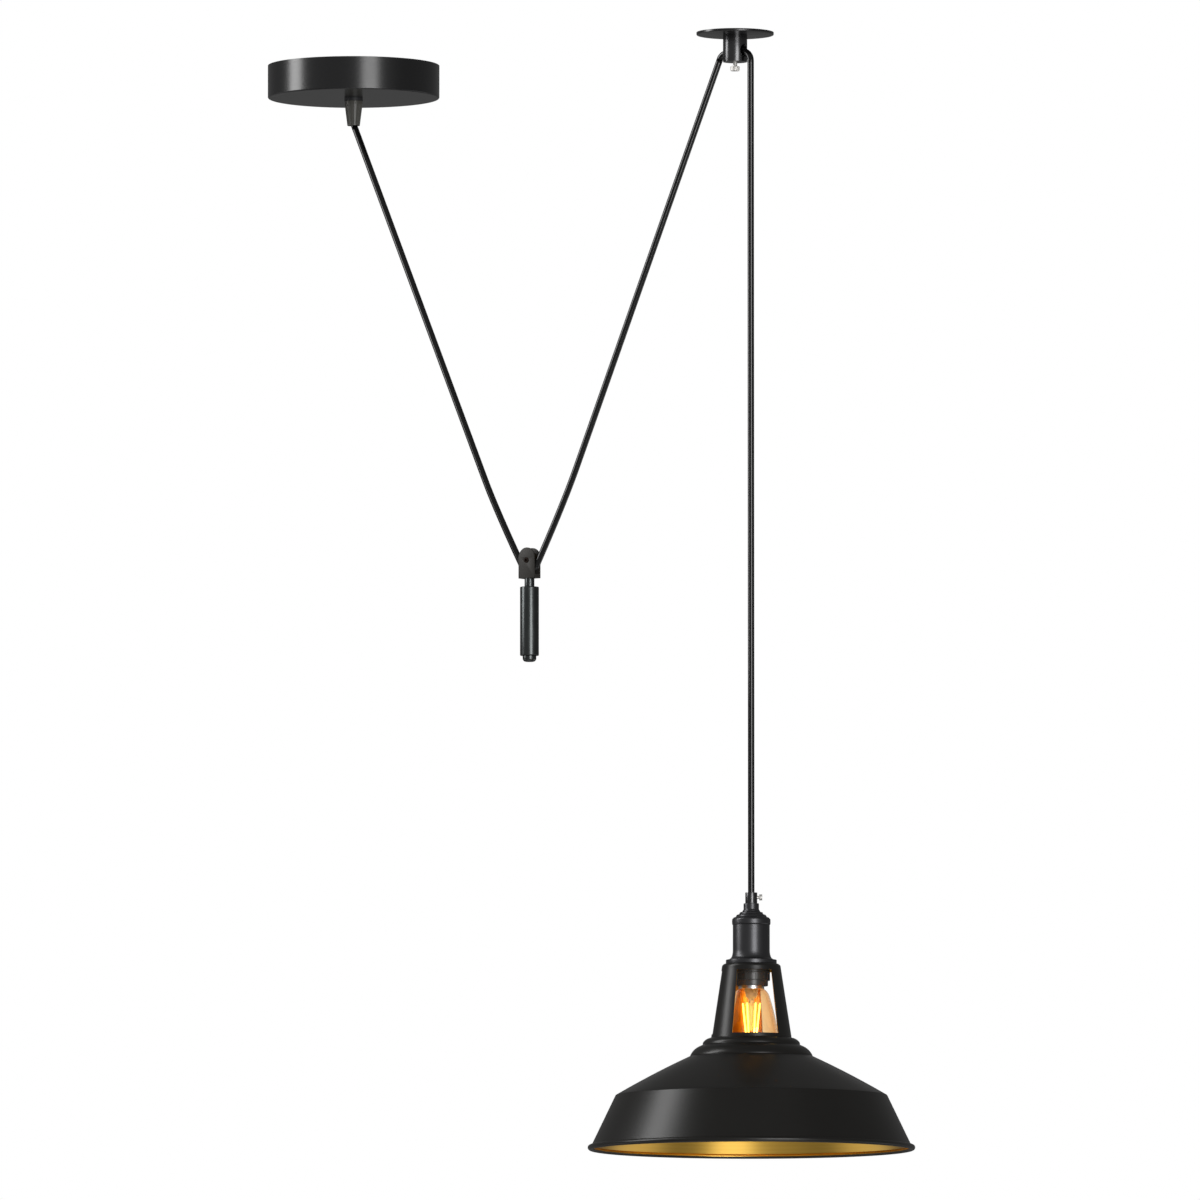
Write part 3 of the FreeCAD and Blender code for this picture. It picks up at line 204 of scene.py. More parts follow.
def add_node(tree, kind, inputs=None, **settings):
    """Adds a node. An input is a value, or the socket of another node that feeds it."""
    node = tree.nodes.new("ShaderNode" + kind)
    for name, value in settings.items():
        setattr(node, name, value)
    for name, value in (inputs or {}).items():
        if isinstance(value, bpy.types.NodeSocket):
            tree.links.new(value, node.inputs[name])
        else:
            node.inputs[name].default_value = value
    return node


def new_finish(name, **shader_values):
    """A material with its shader's own sockets set, and the tree and shader to add detail to."""
    finish = bpy.data.materials.new(name)
    finish.use_nodes = True
    shader = finish.node_tree.nodes["Principled BSDF"]
    for socket, value in shader_values.items():
        shader.inputs[socket.replace("_", " ")].default_value = value
    return finish, finish.node_tree, shader


def vary(tree, shader, pattern, tones=None, gloss=None, relief=None):
    """Lets a pattern of 0 to 1 lead the colour from the first tone to the second, the roughness
    from the first number to the second, and a bump, given by its strength and its depth in mm."""
    if tones:
        dark, light = tones
        tone = add_node(tree, "Mix", {"Factor": pattern, "A": linear(dark), "B": linear(light)},
                        data_type="RGBA")
        tree.links.new(tone.outputs["Result"], shader.inputs["Base Color"])
    if gloss:
        least, most = gloss
        spread = add_node(tree, "MapRange", {"Value": pattern, "To Min": least, "To Max": most})
        tree.links.new(spread.outputs["Result"], shader.inputs["Roughness"])
    if relief:
        strength, depth = relief
        bump = add_node(tree, "Bump", {"Height": pattern, "Strength": strength,
                                       "Distance": depth * MM})
        tree.links.new(bump.outputs["Normal"], shader.inputs["Normal"])


print("black written as #1c1b1a is", [round(c, 4) for c in linear("#1c1b1a")])

# %% [markdown]
# ## Braided flex
# The cord is covered with a black polyester braid: 16 strands each way, crossing at 45 degrees,
# each about 1.4 mm wide. Where a strand lies on top it stands proud and catches the light. Two sets
# of slanted waves, read from the UV map, draw it: each wave is one strand, and a checker of the two
# says which is on top. The same pattern also paints the tops of the strands a little lighter and the
# gaps between them darker: painted shade, on top of the bump.

# %% Material of the cord
braided_flex, tree, shader = new_finish("glazed_polyester_braid", Roughness=0.25,
                                        Specular_IOR_Level=0.2, Coat_Weight=0.9,
                                        Coat_Roughness=0.05)
uv = add_node(tree, "UVMap", uv_map="along_the_cord")
parts_uv = add_node(tree, "SeparateXYZ", {"Vector": uv.outputs["UV"]})
STRANDS = 16
along = add_node(tree, "Math", {0: parts_uv.outputs["Y"], 1: STRANDS / (math.pi * CORD_D * MM)},
                 operation="MULTIPLY")
round_it = add_node(tree, "Math", {0: parts_uv.outputs["X"], 1: STRANDS}, operation="MULTIPLY")
waves = []
for way in ("ADD", "SUBTRACT"):
    slant = add_node(tree, "Math", {0: round_it.outputs[0], 1: along.outputs[0]}, operation=way)
    angle = add_node(tree, "Math", {0: slant.outputs[0], 1: 2 * math.pi}, operation="MULTIPLY")
    waves.append(add_node(tree, "Math", {0: angle.outputs[0]}, operation="SINE").outputs[0])
weave = add_node(tree, "Math", {0: waves[0], 1: waves[1]}, operation="MULTIPLY")
strand = add_node(tree, "MapRange", {"Value": weave.outputs[0], "From Min": -0.9, "From Max": 0.9})
# The strand pattern sets the colour too: tops lighter, gaps darker, which is painted shade.
vary(tree, shader, strand.outputs["Result"], tones=("#030303", "#0b0b0c"), relief=(0.06, 0.05))
print("strands each way:", STRANDS)

# %% [markdown]
# Each stretch of the cord goes with what holds it. The stretch at the canopy and the one in the guide
# ride on the ceiling, and the short stretch round the sheave rides on the counterweight. The two long
# runs and the drop each join two bodies, so they stay where they are, with their place baked in.

# %% The cord's six stretches
cord_pieces, travelled = {}, 0.0
for name, line in cord_lines.items():
    cord_pieces[name] = cord_tube(name, line, travelled)
    travelled += line_length(line)
    cord_pieces[name].data.materials.append(braided_flex)
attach(cord_pieces["cord_at_canopy"], "ceiling")
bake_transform(cord_pieces["cord_down_to_sheave"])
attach(cord_pieces["cord_round_sheave"], "counterweight")
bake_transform(cord_pieces["cord_up_to_guide"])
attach(cord_pieces["cord_through_guide"], "ceiling")
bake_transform(cord_pieces["cord_to_lamp"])
for name, solids in {
    "cord_at_canopy": ["cord_tail"],
    "cord_down_to_sheave": ["cord_left_run"],
    "cord_round_sheave": ["cord_bight"],
    "cord_up_to_guide": ["cord_right_run"],
    "cord_through_guide": ["cord_guide_bend"],
    "cord_to_lamp": ["drop_cord", "cord_lamp_end"],
}.items():
    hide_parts(*solids)
print("cord, all stretches:", round(travelled / MM), "mm")

# %% [markdown]
# ## Studio
# The background is white, but only for rays that leave the camera, and for what glass lets
# through. The object itself is lit by a soft even sky, by a large softbox in front, a little to the
# right, and by a taller one on the left. In reflections the backdrop is a white band far behind the
# object, the ground at both sides is bright, the room in front is a little brighter than the rest,
# and the rest is dim, which gives the black parts their depth.

# %% World
SKY, DIM, FRONT, SIDE_GROUND, WHITE = 0.28, 0.13, 0.22, 0.75, 1.0
world = bpy.data.worlds.new("studio")
bpy.context.scene.world = world
world.use_nodes = True
tree = world.node_tree
background = tree.nodes["Background"]
background.inputs["Color"].default_value = (1, 1, 1, 1)
rays = add_node(tree, "LightPath").outputs
direction = add_node(tree, "TexCoord")
towards = add_node(tree, "SeparateXYZ", {"Vector": direction.outputs["Generated"]}).outputs
sideways = add_node(tree, "Math", {0: towards["X"]}, operation="ABSOLUTE")
share = {}
for name, value, none_at, full_at in (
    ("above", towards["Z"], 0.24, 0.34),
    ("not_over", towards["Z"], 0.62, 0.48),
    ("behind", towards["Y"], 0.92, 0.98),
    ("beside", sideways.outputs[0], 0.6, 0.8),
    ("below", towards["Z"], -0.2, -0.45),
    ("further", towards["Y"], -0.35, 0.1),
    ("in_front", towards["Y"], -0.3, -0.7),
):
    edge = add_node(tree, "MapRange", {"Value": value, "From Min": none_at, "From Max": full_at},
                    interpolation_type="SMOOTHSTEP")
    share[name] = edge.outputs["Result"]
for name, first, second in (
    ("band", "above", "not_over"), ("backdrop", "behind", "band"),
    ("low_side", "beside", "below"), ("ground", "low_side", "further"),
):
    both = add_node(tree, "Math", {0: share[first], 1: share[second]}, operation="MULTIPLY")
    share[name] = both.outputs[0]
strength = DIM
for name, brightness in (("in_front", FRONT), ("ground", SIDE_GROUND), ("backdrop", WHITE)):
    mixed = add_node(tree, "Mix", {"Factor": share[name], "A": strength, "B": brightness},
                     data_type="FLOAT")
    strength = mixed.outputs["Result"]
seen = add_node(tree, "Math", {0: rays["Is Camera Ray"], 1: rays["Is Transmission Ray"]},
                operation="MAXIMUM")
mirrored = add_node(tree, "Mix", {"Factor": rays["Is Glossy Ray"], "A": SKY, "B": strength},
                    data_type="FLOAT")
shown = add_node(tree, "Mix", {"Factor": seen.outputs[0], "A": mirrored.outputs["Result"],
                               "B": WHITE}, data_type="FLOAT")
tree.links.new(shown.outputs["Result"], background.inputs["Strength"])
bpy.context.scene.view_settings.view_transform = "Standard"
print("sky strength for diffuse light:", SKY)

# %% [markdown]
# An area light's brightness in a reflection is its power divided by pi times its area, so each
# softbox is given by the brightness that its reflection should have. A small card low in front
# throws light up into the shade, where the gold mirrors it as one bright stripe.

# %% Softboxes
def softbox(name, place, aim, width, height, brightness):
    data = bpy.data.lights.new(name, "AREA")
    data.shape = "RECTANGLE"
    data.size, data.size_y = width, height
    data.energy = brightness * math.pi * width * height
    lamp = bpy.data.objects.new(name, data)
    lamp.location = place
    lamp.rotation_euler = (Vector(aim) - Vector(place)).to_track_quat("-Z", "Y").to_euler()
    lamp.visible_camera = False
    bpy.context.scene.collection.objects.link(lamp)


softbox("softbox_front", (1.7, -4.8, -1.0), (-0.1, 0.1, -0.8), 2.1, 3.9, 5.2)
softbox("softbox_left", (-4.5, -0.15, 1.6), (-0.2, 0.1, -0.5), 1.6, 4.2, 6.2)
softbox("card_below", (0.28, -0.75, -2.25), (0.02, 0.15, -1.2), 0.55, 0.6, 1.5)
print("two softboxes and a card")

# %% [markdown]
# The floor is a pale disc well below the lamp. The photograph's camera stands a metre above it but
# looks up, so the floor never shows in the main view; it is there for the views from above. Seen
# from below it is see-through, so that it never hides the shade's inside.

# %% Floor
FLOOR_R, FLOOR_HEIGHT = 1.45, -3.3
bpy.ops.object.select_all(action="DESELECT")
bpy.ops.mesh.primitive_circle_add(vertices=96, radius=FLOOR_R, fill_type="NGON",
                                  location=(-0.1, 0, FLOOR_HEIGHT))
floor = bpy.context.object
floor.name = "studio_floor"
pale_floor, tree, shader = new_finish("pale_floor", Roughness=0.8)
shader.inputs["Base Color"].default_value = linear("#f2f2f0")
under = add_node(tree, "NewGeometry")
clear = add_node(tree, "BsdfTransparent")
both = add_node(tree, "MixShader", {"Fac": under.outputs["Backfacing"]})
tree.links.new(shader.outputs[0], both.inputs[1])
tree.links.new(clear.outputs[0], both.inputs[2])
tree.links.new(both.outputs[0], tree.nodes["Material Output"].inputs["Surface"])
floor.data.materials.append(pale_floor)
print("floor at", floor.location.z)

# %% [markdown]
# ## Ways to shape
# Nearly every piece of this lamp was made on a lathe or spun over a form, so the main helper turns
# an outline about an upright axis. It starts from a circle and works as by hand: extrude the edge
# ring to the next height, then scale it to the next radius. Corners of an outline are eased first,
# because a real edge is never perfectly sharp and its small round is what catches the light.

# %% Helpers for shaping
SPECK = 1e-6


def start_fresh():
    bpy.ops.object.select_all(action="DESELECT")


def eased(corners, steps=4):
    """An outline of (radius, height, ease) corners, each rounded by its ease, in millimetres."""
    line = []
    for index, (radius, height, ease) in enumerate(corners):
        corner = Vector((radius, height))
        if not ease or index in (0, len(corners) - 1):
            line.append(corner)
            continue
        before = Vector(corners[index - 1][:2]) - corner
        after = Vector(corners[index + 1][:2]) - corner
        first = corner + before.normalized() * min(ease, 0.48 * before.length)
        last = corner + after.normalized() * min(ease, 0.48 * after.length)
        for step in range(steps + 1):
            t = step / steps
            line.append(first * (1 - t) ** 2 + corner * 2 * t * (1 - t) + last * t ** 2)
    return line


def turned(name, line, segments=96):
    """Turns a line of (radius, height) points, in millimetres, about the Z axis."""
    start_fresh()
    points = [(max(r * MM, SPECK), z * MM) for r, z in line]
    radius, height = points[0]
    bpy.ops.mesh.primitive_circle_add(vertices=segments, radius=radius, enter_editmode=True)
    bpy.ops.transform.translate(value=(0, 0, height))
    for next_radius, next_height in points[1:]:
        step = (0, 0, next_height - height)
        bpy.ops.mesh.extrude_edges_move(TRANSFORM_OT_translate={"value": step})
        scale = next_radius / radius
        bpy.ops.transform.resize(value=(scale, scale, 1), center_override=(0, 0, next_height))
        radius, height = next_radius, next_height
    bpy.ops.mesh.select_all(action="SELECT")
    bpy.ops.mesh.remove_doubles(threshold=3 * SPECK)
    bpy.ops.mesh.normals_make_consistent(inside=False)
    bpy.ops.object.mode_set(mode="OBJECT")
    piece = bpy.context.object
    piece.name = name
    return piece


def settle(piece, place, finish, body, slot, *solids, sharp=35):
    """Puts a piece in its place, gives it its finish and its body, and hides what it stands for."""
    start_fresh()
    piece.select_set(True)
    bpy.context.view_layer.objects.active = piece
    piece.location = place
    bpy.ops.object.transform_apply(location=True, rotation=True, scale=True)
    bpy.ops.object.shade_smooth_by_angle(angle=math.radians(sharp))
    if finish:
        piece.data.materials.append(finish)
    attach(piece, body)
    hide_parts(*solids)
    print(piece.name, len(piece.data.polygons), "faces, on", body)
    return piece


def select_faces(piece, wanted):
    """In edit mode, selects the faces whose middle and normal the test wants."""
    bpy.ops.object.mode_set(mode="EDIT")
    bpy.ops.mesh.select_mode(type="FACE")
    bpy.ops.mesh.select_all(action="DESELECT")
    bpy.ops.object.mode_set(mode="OBJECT")
    for face in piece.data.polygons:
        face.select = wanted(face.center / MM, face.normal)
    bpy.ops.object.mode_set(mode="EDIT")


print("shaping helpers ready")

# %% [markdown]
# ## Paints
# The shade's outside is a matt black wet paint, very slightly uneven, so its highlights are broad
# and weak. The canopy and the guide plate have a sprayed satin black coat with a fine orange peel,
# about 1.5 mm from dimple to dimple, which draws the softboxes with soft edges. The lampholder has
# a graphite lacquer: metal flakes too small to tell apart, which make its grey bands broad and its
# edges dark.

# %% Black paints
shade_black, tree, shader = new_finish("matt_black_paint", Roughness=0.32, Specular_IOR_Level=0.4)
place = add_node(tree, "TexCoord").outputs["Object"]
peel = add_node(tree, "TexNoise", {"Vector": place, "Scale": 700.0, "Detail": 2.0})
cloud = add_node(tree, "TexNoise", {"Vector": place, "Scale": 22.0, "Detail": 3.0})
vary(tree, shader, cloud.outputs["Fac"], tones=("#171614", "#1c1b19"))
vary(tree, shader, peel.outputs["Fac"], gloss=(0.28, 0.36), relief=(0.06, 0.1))

satin_black, tree, shader = new_finish("satin_black_coat", Roughness=0.25, Specular_IOR_Level=0.8)
place = add_node(tree, "TexCoord").outputs["Object"]
peel = add_node(tree, "TexNoise", {"Vector": place, "Scale": 650.0, "Detail": 1.0})
vary(tree, shader, peel.outputs["Fac"], ("#0e0e0f", "#131314"), (0.22, 0.28), (0.08, 0.1))

graphite, tree, shader = new_finish("graphite_metallic_lacquer", Metallic=0.9, Roughness=0.3)
place = add_node(tree, "TexCoord").outputs["Object"]
flake = add_node(tree, "TexNoise", {"Vector": place, "Scale": 1100.0, "Detail": 2.0})
vary(tree, shader, flake.outputs["Fac"], ("#4c4c4e", "#565658"), (0.33, 0.37))
print("paints:", shade_black.name, satin_black.name, graphite.name)

# %% [markdown]
# The inside of the shade is a satin gold lacquer over the spun metal: warm, metallic, with the
# faint rings that spinning leaves, about 2 mm apart, which draw its highlight out round the axis.

# %% Gold inside
satin_gold, tree, shader = new_finish("satin_gold_lacquer", Metallic=1.0, Roughness=0.26,
                                      Coat_Weight=0.35, Coat_Roughness=0.2)
place = add_node(tree, "TexCoord").outputs["Object"]
to_axis = (-LAMP_AXIS.x, -LAMP_AXIS.y, 0)
centred = add_node(tree, "Mapping", {"Vector": place, "Location": to_axis})
rings = add_node(tree, "TexWave", {"Vector": centred.outputs["Vector"], "Scale": 160.0},
                 wave_type="RINGS", rings_direction="Z")
vary(tree, shader, rings.outputs["Fac"], ("#e5b54c", "#e9ba52"), (0.285, 0.3))
print("gold ready")

# %% [markdown]
# ## Shade
# The shade is spun from one sheet of metal: a nearly straight neck with three cut windows, two
# rounded steps, a wide cone, and a steep band that ends in a rolled bead. Its outline comes first,
# from the hole at the top down to the bead. The longer parts of it bulge a little, as spun metal
# does.

# %% Outline of the shade
def bulged(a, b, share, steps=8):
    """Points from a to b along a parabola that bulges out by a share of their distance."""
    a, b = Vector(a), Vector(b)
    out = Vector((-(b - a).y, (b - a).x)) * share
    return [a.lerp(b, i / steps) + out * 4 * (i / steps) * (1 - i / steps)
            for i in range(steps + 1)]


def straight(a, b, steps):
    return [Vector(a).lerp(Vector(b), i / steps) for i in range(steps + 1)]


WINDOW_TOP, WINDOW_LOW = -1041.2, -1111.5
NECK_TOP, NECK_LOW = (32.5, -1038.0), (44.4, -1115.2)


def neck_radius(height):
    share = (NECK_TOP[1] - height) / (NECK_TOP[1] - NECK_LOW[1])
    return NECK_TOP[0] + (NECK_LOW[0] - NECK_TOP[0]) * share


BEAD_CENTRE, BEAD_R = Vector((177.2, -1235.9)), 3.0
CONE_TOP, CREASE = (67.3, -1135.2), (149.6, -1178.5)
band_way = (BEAD_CENTRE - Vector(CREASE)).normalized()
curl_start = math.atan2(-band_way.y, -band_way.x)
curl_turns = [curl_start - math.radians(a) for a in range(0, 331, 15)]
curl = [BEAD_CENTRE + Vector((math.cos(turn), math.sin(turn))) * BEAD_R for turn in curl_turns]
window_top = (neck_radius(WINDOW_TOP), WINDOW_TOP)
window_low = (neck_radius(WINDOW_LOW), WINDOW_LOW)
shade_line = (
    [Vector((17.9, -1033.6))]
    + bulged((29.5, -1033.6), NECK_TOP, 0.18)
    + straight(window_top, window_low, 12)
    + bulged(NECK_LOW, (53.5, -1120.6), 0.12)
    + eased([(53.5, -1121.0, 0), (53.5, -1122.8, 0.4), (56.1, -1124.0, 0)], 2)[1:]
    + bulged((56.3, -1124.1), (67.3, -1134.4), 0.1)[1:]
    + bulged(CONE_TOP, CREASE, 0.012, 12)[:-1]
    + eased([(149.0, -1178.1, 0), (*CREASE, 0.8), (150.2, -1179.8, 0)], 4)
    + straight((151.2, -1181.9), BEAD_CENTRE - band_way * BEAD_R, 3)[:-1]
    + curl
)
print("outline of the shade:", len(shade_line), "points")

# %% [markdown]
# The outline is turned with a point every degree, the windows' faces are deleted, and Solidify
# gives the sheet its 1 mm, with the gold on the inner side and on the cut edges.

# %% Shade
shade = turned("spun_shade", shade_line, 360)
WINDOWS = ((-119, -48), (1, 72), (121, 192))


def in_window(middle, normal):
    if not WINDOW_LOW < middle.z < WINDOW_TOP:
        return False
    turn = math.degrees(math.atan2(middle.y, middle.x))
    return any(low < turn + lap < high for low, high in WINDOWS for lap in (0, 360))


select_faces(shade, in_window)
bpy.ops.mesh.delete(type="FACE")
bpy.ops.object.mode_set(mode="OBJECT")
shade.data.materials.append(shade_black)
shade.data.materials.append(satin_gold)
wall = shade.modifiers.new("sheet", "SOLIDIFY")
wall.thickness = 1.0 * MM
wall.offset = -1
wall.use_even_offset = True
wall.material_offset = 1
wall.material_offset_rim = 1
bpy.ops.object.modifier_apply(modifier="sheet")


BEAD_GOLD_TOP, BEAD_GOLD_LOW = -1232.8, -1236.4


def faces_the_bulb(middle, normal):
    """The inner half of the rolled bead, which has the gold of the inside."""
    outwards = Vector((middle.x, middle.y, 0)).normalized()
    return BEAD_GOLD_LOW < middle.z < BEAD_GOLD_TOP and normal.dot(outwards) < -0.3


select_faces(shade, faces_the_bulb)
shade.active_material_index = 1
bpy.ops.object.material_slot_assign()
bpy.ops.object.mode_set(mode="OBJECT")
settle(shade, LAMP_AXIS, None, "lamp", "shade_paint", "shade_neck", "shade_cone", "shade_band",
       sharp=40)

# %% [markdown]
# ## Lampholder
# A stepped cap sits on a cylindrical shell, and the shell flares into a flange that the shade hangs
# from. All are turned from steel tube and sheet, and sprayed with graphite lacquer.

# %% Lampholder's cap and shell
cap_line = eased([
    # collar and its foot
    (6.1, -966.9, 0), (8.5, -966.9, 0.3), (8.5, -973.6, 0.8), (9.8, -975.3, 0.5),
    # first, second and third step, and the skirt
    (9.9, -976.0, 0.3), (12.6, -976.7, 0.8), (13.3, -978.7, 0.5), (16.2, -979.6, 0.8),
    (17.2, -981.8, 0.5), (19.4, -982.4, 0.8), (21.2, -984.4, 1.0), (21.2, -989.6, 0.8),
    (20.5, -990.6, 0.2),
    # back up inside
    (20.2, -990.6, 0.1), (20.2, -985.2, 0.5), (16.5, -982.4, 0.5), (12.0, -978.0, 0.4),
    (10.5, -977.1, 0.3), (6.1, -977.1, 0), (6.1, -966.9, 0)], 5)
cap = turned("lampholder_cap", cap_line, 128)
settle(cap, LAMP_AXIS, graphite, "lamp", "black_paint", "holder_cap")
shell_line = eased([
    # down the outside to the flange
    (19.9, -984.9, 0), (19.9, -990.6, 0.1), (20.35, -990.8, 0.15), (20.35, -1021.5, 3.0),
    (21.9, -1026.8, 2.0), (25.0, -1028.9, 1.4), (28.0, -1029.1, 0.5), (28.0, -1033.6, 0.5),
    # back up inside
    (17.6, -1033.6, 0.1), (17.6, -1026.6, 0.1), (19.35, -1026.6, 0.1), (19.35, -984.9, 0.1),
    (19.9, -984.9, 0)])
shell = turned("lampholder_shell", shell_line, 128)
settle(shell, LAMP_AXIS, graphite, "lamp", "black_paint", "holder_shell")

# %% [markdown]
# ## Shade ring
# The ring that clamps the shade is moulded from black phenolic plastic. Ten sunk panels round its
# barrel, with a rib between each two, give the fingers a hold.

# %% Shade ring
moulded_black, tree, shader = new_finish("moulded_black_phenolic", Roughness=0.3,
                                         Specular_IOR_Level=0.6)
place = add_node(tree, "TexCoord").outputs["Object"]
grain = add_node(tree, "TexNoise", {"Vector": place, "Scale": 1500.0, "Detail": 2.0})
vary(tree, shader, grain.outputs["Fac"], tones=("#35322f", "#43403c"), relief=(0.1, 0.05))
BARREL_R, PANEL_TOP, PANEL_LOW, PANEL_MIDDLE = 20.6, -1044.2, -1051.0, -1047.6
PANELS, PANEL_DEPTH, PANEL_DRAFT, FIRST_RIB, RIB_WIDTH = 10, 1.3, 0.94, 76, 7
ring_line = eased([
    # flange
    (17.6, -1034.9, 0), (26.0, -1034.9, 0.4), (26.0, -1037.3, 0.4), (BARREL_R, -1037.3, 0.5),
    # barrel, with a thin raised line above the panels
    (BARREL_R, -1042.6, 0), (20.9, -1043.0, 0), (BARREL_R, -1043.4, 0),
    (BARREL_R, PANEL_TOP, 0), (BARREL_R, PANEL_LOW, 0), (BARREL_R, -1052.0, 0.5),
    # narrow end, and back up inside
    (18.4, -1052.0, 0.3), (18.4, -1057.9, 0.5), (17.6, -1057.9, 0), (17.6, -1034.9, 0)])
ring = turned("shade_clamp_ring", ring_line, 360)


def in_panel(middle, normal):
    """Faces on the barrel's outside between two ribs, whose places and width are in degrees."""
    turn = (math.degrees(math.atan2(middle.y, middle.x)) + FIRST_RIB) % (360 / PANELS)
    outside = normal.x * middle.x + normal.y * middle.y > 0
    return PANEL_LOW < middle.z < PANEL_TOP and outside and turn > RIB_WIDTH


select_faces(ring, in_panel)
bpy.ops.mesh.extrude_region_move(TRANSFORM_OT_translate={"value": (0, 0, 0)})
sunk = (BARREL_R - PANEL_DEPTH) / BARREL_R
bpy.ops.transform.resize(value=(sunk, sunk, PANEL_DRAFT),
                         center_override=(0, 0, PANEL_MIDDLE * MM))
bpy.ops.object.mode_set(mode="OBJECT")
settle(ring, LAMP_AXIS, moulded_black, "shade_ring", "ring_plastic", "shade_ring", sharp=30)

# %% [markdown]
# ## Bulb
# The bulb is amber glass: each of its two surfaces takes a little blue and green out of the light,
# so the edges, where the wall is seen slantwise, look darker and redder than the middle.

# %% Glass of the bulb
amber_glass, tree, shader = new_finish("amber_bulb_glass", Roughness=0.0, IOR=1.46,
                                       Transmission_Weight=1.0)
facing = add_node(tree, "LayerWeight", {"Blend": 0.35})
vary(tree, shader, facing.outputs["Facing"], tones=("#fbe7c4", "#ea9f50"))
NECK, GLASS_WALL, BULB_R, BULB_DEPTH = -1061.3, 1.0, 32, 83.5
SHOULDER = ((13.9, 0), (16.5, 1.8), (18.6, 4.6), (19.75, 7.2), (20.5, 9.6))


def glass_line(inset):
    """The bulb's outline, moved inwards by the inset: shoulder, long curved side, round end."""
    shoulder = [(radius - inset, NECK - depth) for radius, depth in SHOULDER]
    swell, drop = BULB_R - SHOULDER[-1][0], BULB_DEPTH - SHOULDER[-1][1]
    side_r = (swell ** 2 + drop ** 2) / (2 * swell)
    whole = math.asin(drop / side_r)
    widest, middle = BULB_R - inset, NECK - BULB_DEPTH
    side_turns = [whole * (1 - i / 14) for i in range(1, 15)]
    side = [(widest - side_r * (1 - math.cos(turn)), middle + side_r * math.sin(turn))
            for turn in side_turns]
    end_turns = [math.radians(a) for a in range(6, 91, 6)]
    end = [(widest * math.cos(turn), middle - widest * math.sin(turn)) for turn in end_turns]
    return shoulder + side + end


outside, inside = glass_line(0), glass_line(GLASS_WALL)
glass = turned("bulb_envelope", outside + inside[::-1] + [outside[0]], 96)
settle(glass, LAMP_AXIS, amber_glass, "bulb", "amber_glass", "bulb_glass", sharp=60)

# %% [markdown]
# Inside it, a pale glass stem carries thin wires, and six coated filament strips lean in towards
# the bulb's axis.

# %% Inside of the bulb
stem_glass, tree, shader = new_finish("milky_stem_glass", Roughness=0.25, IOR=1.5,
                                      Transmission_Weight=0.25)
place = add_node(tree, "TexCoord").outputs["Object"]
haze = add_node(tree, "TexNoise", {"Vector": place, "Scale": 90.0})
vary(tree, shader, haze.outputs["Fac"], tones=("#e9d2b6", "#f6ebdc"))
stem_line = eased([
    # flare and pinch
    (0, -1052.0, 0), (9.5, -1052.0, 1), (8.0, -1062.0, 2), (6.6, -1066.0, 1.5),
    (6.2, -1070.0, 1.5),
    # rod and its thin tip
    (3.2, -1072.0, 1.5), (2.9, -1098.0, 1.0), (1.6, -1101.5, 1.0), (1.4, -1107.0, 0.5),
    (0, -1107.3, 0)])
stem = turned("bulb_glass_stem", stem_line, 48)
settle(stem, LAMP_AXIS, stem_glass, "bulb", "clear_glass", "bulb_stem", sharp=50)

phosphor, tree, shader = new_finish("phosphor_coated_strip", Roughness=0.45)
place = add_node(tree, "TexCoord").outputs["Object"]
grain = add_node(tree, "TexNoise", {"Vector": place, "Scale": 1200.0})
vary(tree, shader, grain.outputs["Fac"], tones=("#ffc53a", "#ffe07a"))
# The strips glow with their own yellow light: painted light that keeps them bright yellow-white and
# brightens the inside of the bulb.
tree.links.new(shader.inputs["Base Color"].links[0].from_socket, shader.inputs["Emission Color"])
shader.inputs["Emission Strength"].default_value = 6.0
STRIPS, STRIP_R, WIRE_R, STRIP_LENGTH = 6, 0.9, 0.55, 38.0
UPPER_R, UPPER_Z, LOWER_R, LOWER_Z = 9.5, -1076.6, 5.5, -1114.6
strip_line = eased([
    (0, 0, 0), (WIRE_R, 0, 0.2), (WIRE_R, 0.8, 0.1), (STRIP_R, 1.0, 0.2),
    (STRIP_R, STRIP_LENGTH - 1.0, 0.2), (WIRE_R, STRIP_LENGTH - 0.8, 0.1),
    (WIRE_R, STRIP_LENGTH, 0.2), (0, STRIP_LENGTH, 0)], 2)
strips = []
for index in range(STRIPS):
    turn = 2 * math.pi / STRIPS * index
    out = Vector((math.cos(turn), math.sin(turn), 0))
    upper = out * UPPER_R + Vector((0, 0, UPPER_Z))
    lower = out * LOWER_R + Vector((0, 0, LOWER_Z))
    strip = turned(f"filament_strip_{index + 1}", strip_line, 16)
    lean = (upper - lower).to_track_quat("Z", "Y").to_matrix().to_4x4()
    strip.matrix_world = Matrix.Translation(lower * MM) @ lean
    strips.append(strip)
start_fresh()
for strip in strips:
    strip.select_set(True)
bpy.context.view_layer.objects.active = strips[0]
bpy.ops.object.transform_apply(location=True, rotation=True, scale=True)
bpy.ops.object.join()
strips[0].name = "bulb_filament_strips"
settle(strips[0], LAMP_AXIS, phosphor, "bulb", "filament", "bulb_filaments", sharp=40)

# %% [markdown]
# ## Metals
# The guide tube and the cord's sleeve are turned, blackened and polished, so they mirror the
# softboxes as clear stripes. The counterweight is turned, blackened and left satin, with one broad
# soft stripe. Its fork has a fine textured bronze paint that breaks the light up, and its axle
# screw is dark from the oxide bath. The small screws are nickel plated and catch the light
# brightly. Inside, brass and zinc plated parts keep the warm and the cool sheen of their metal. The
# sheave's brass is painted dark all over: painted shade, for the shadow it lies in between the
# fork's plates.

# %% Metals and their grain
def metal(name, dark, light, roughness, grain_scale, bump_strength, metallic=1.0):
    finish, tree, shader = new_finish(name, Metallic=metallic, Roughness=roughness)
    place = add_node(tree, "TexCoord").outputs["Object"]
    grain = add_node(tree, "TexNoise", {"Vector": place, "Scale": grain_scale, "Detail": 3.0})
    vary(tree, shader, grain.outputs["Fac"], (dark, light), (0.8 * roughness, 1.2 * roughness),
         (bump_strength, 0.05))
    return finish


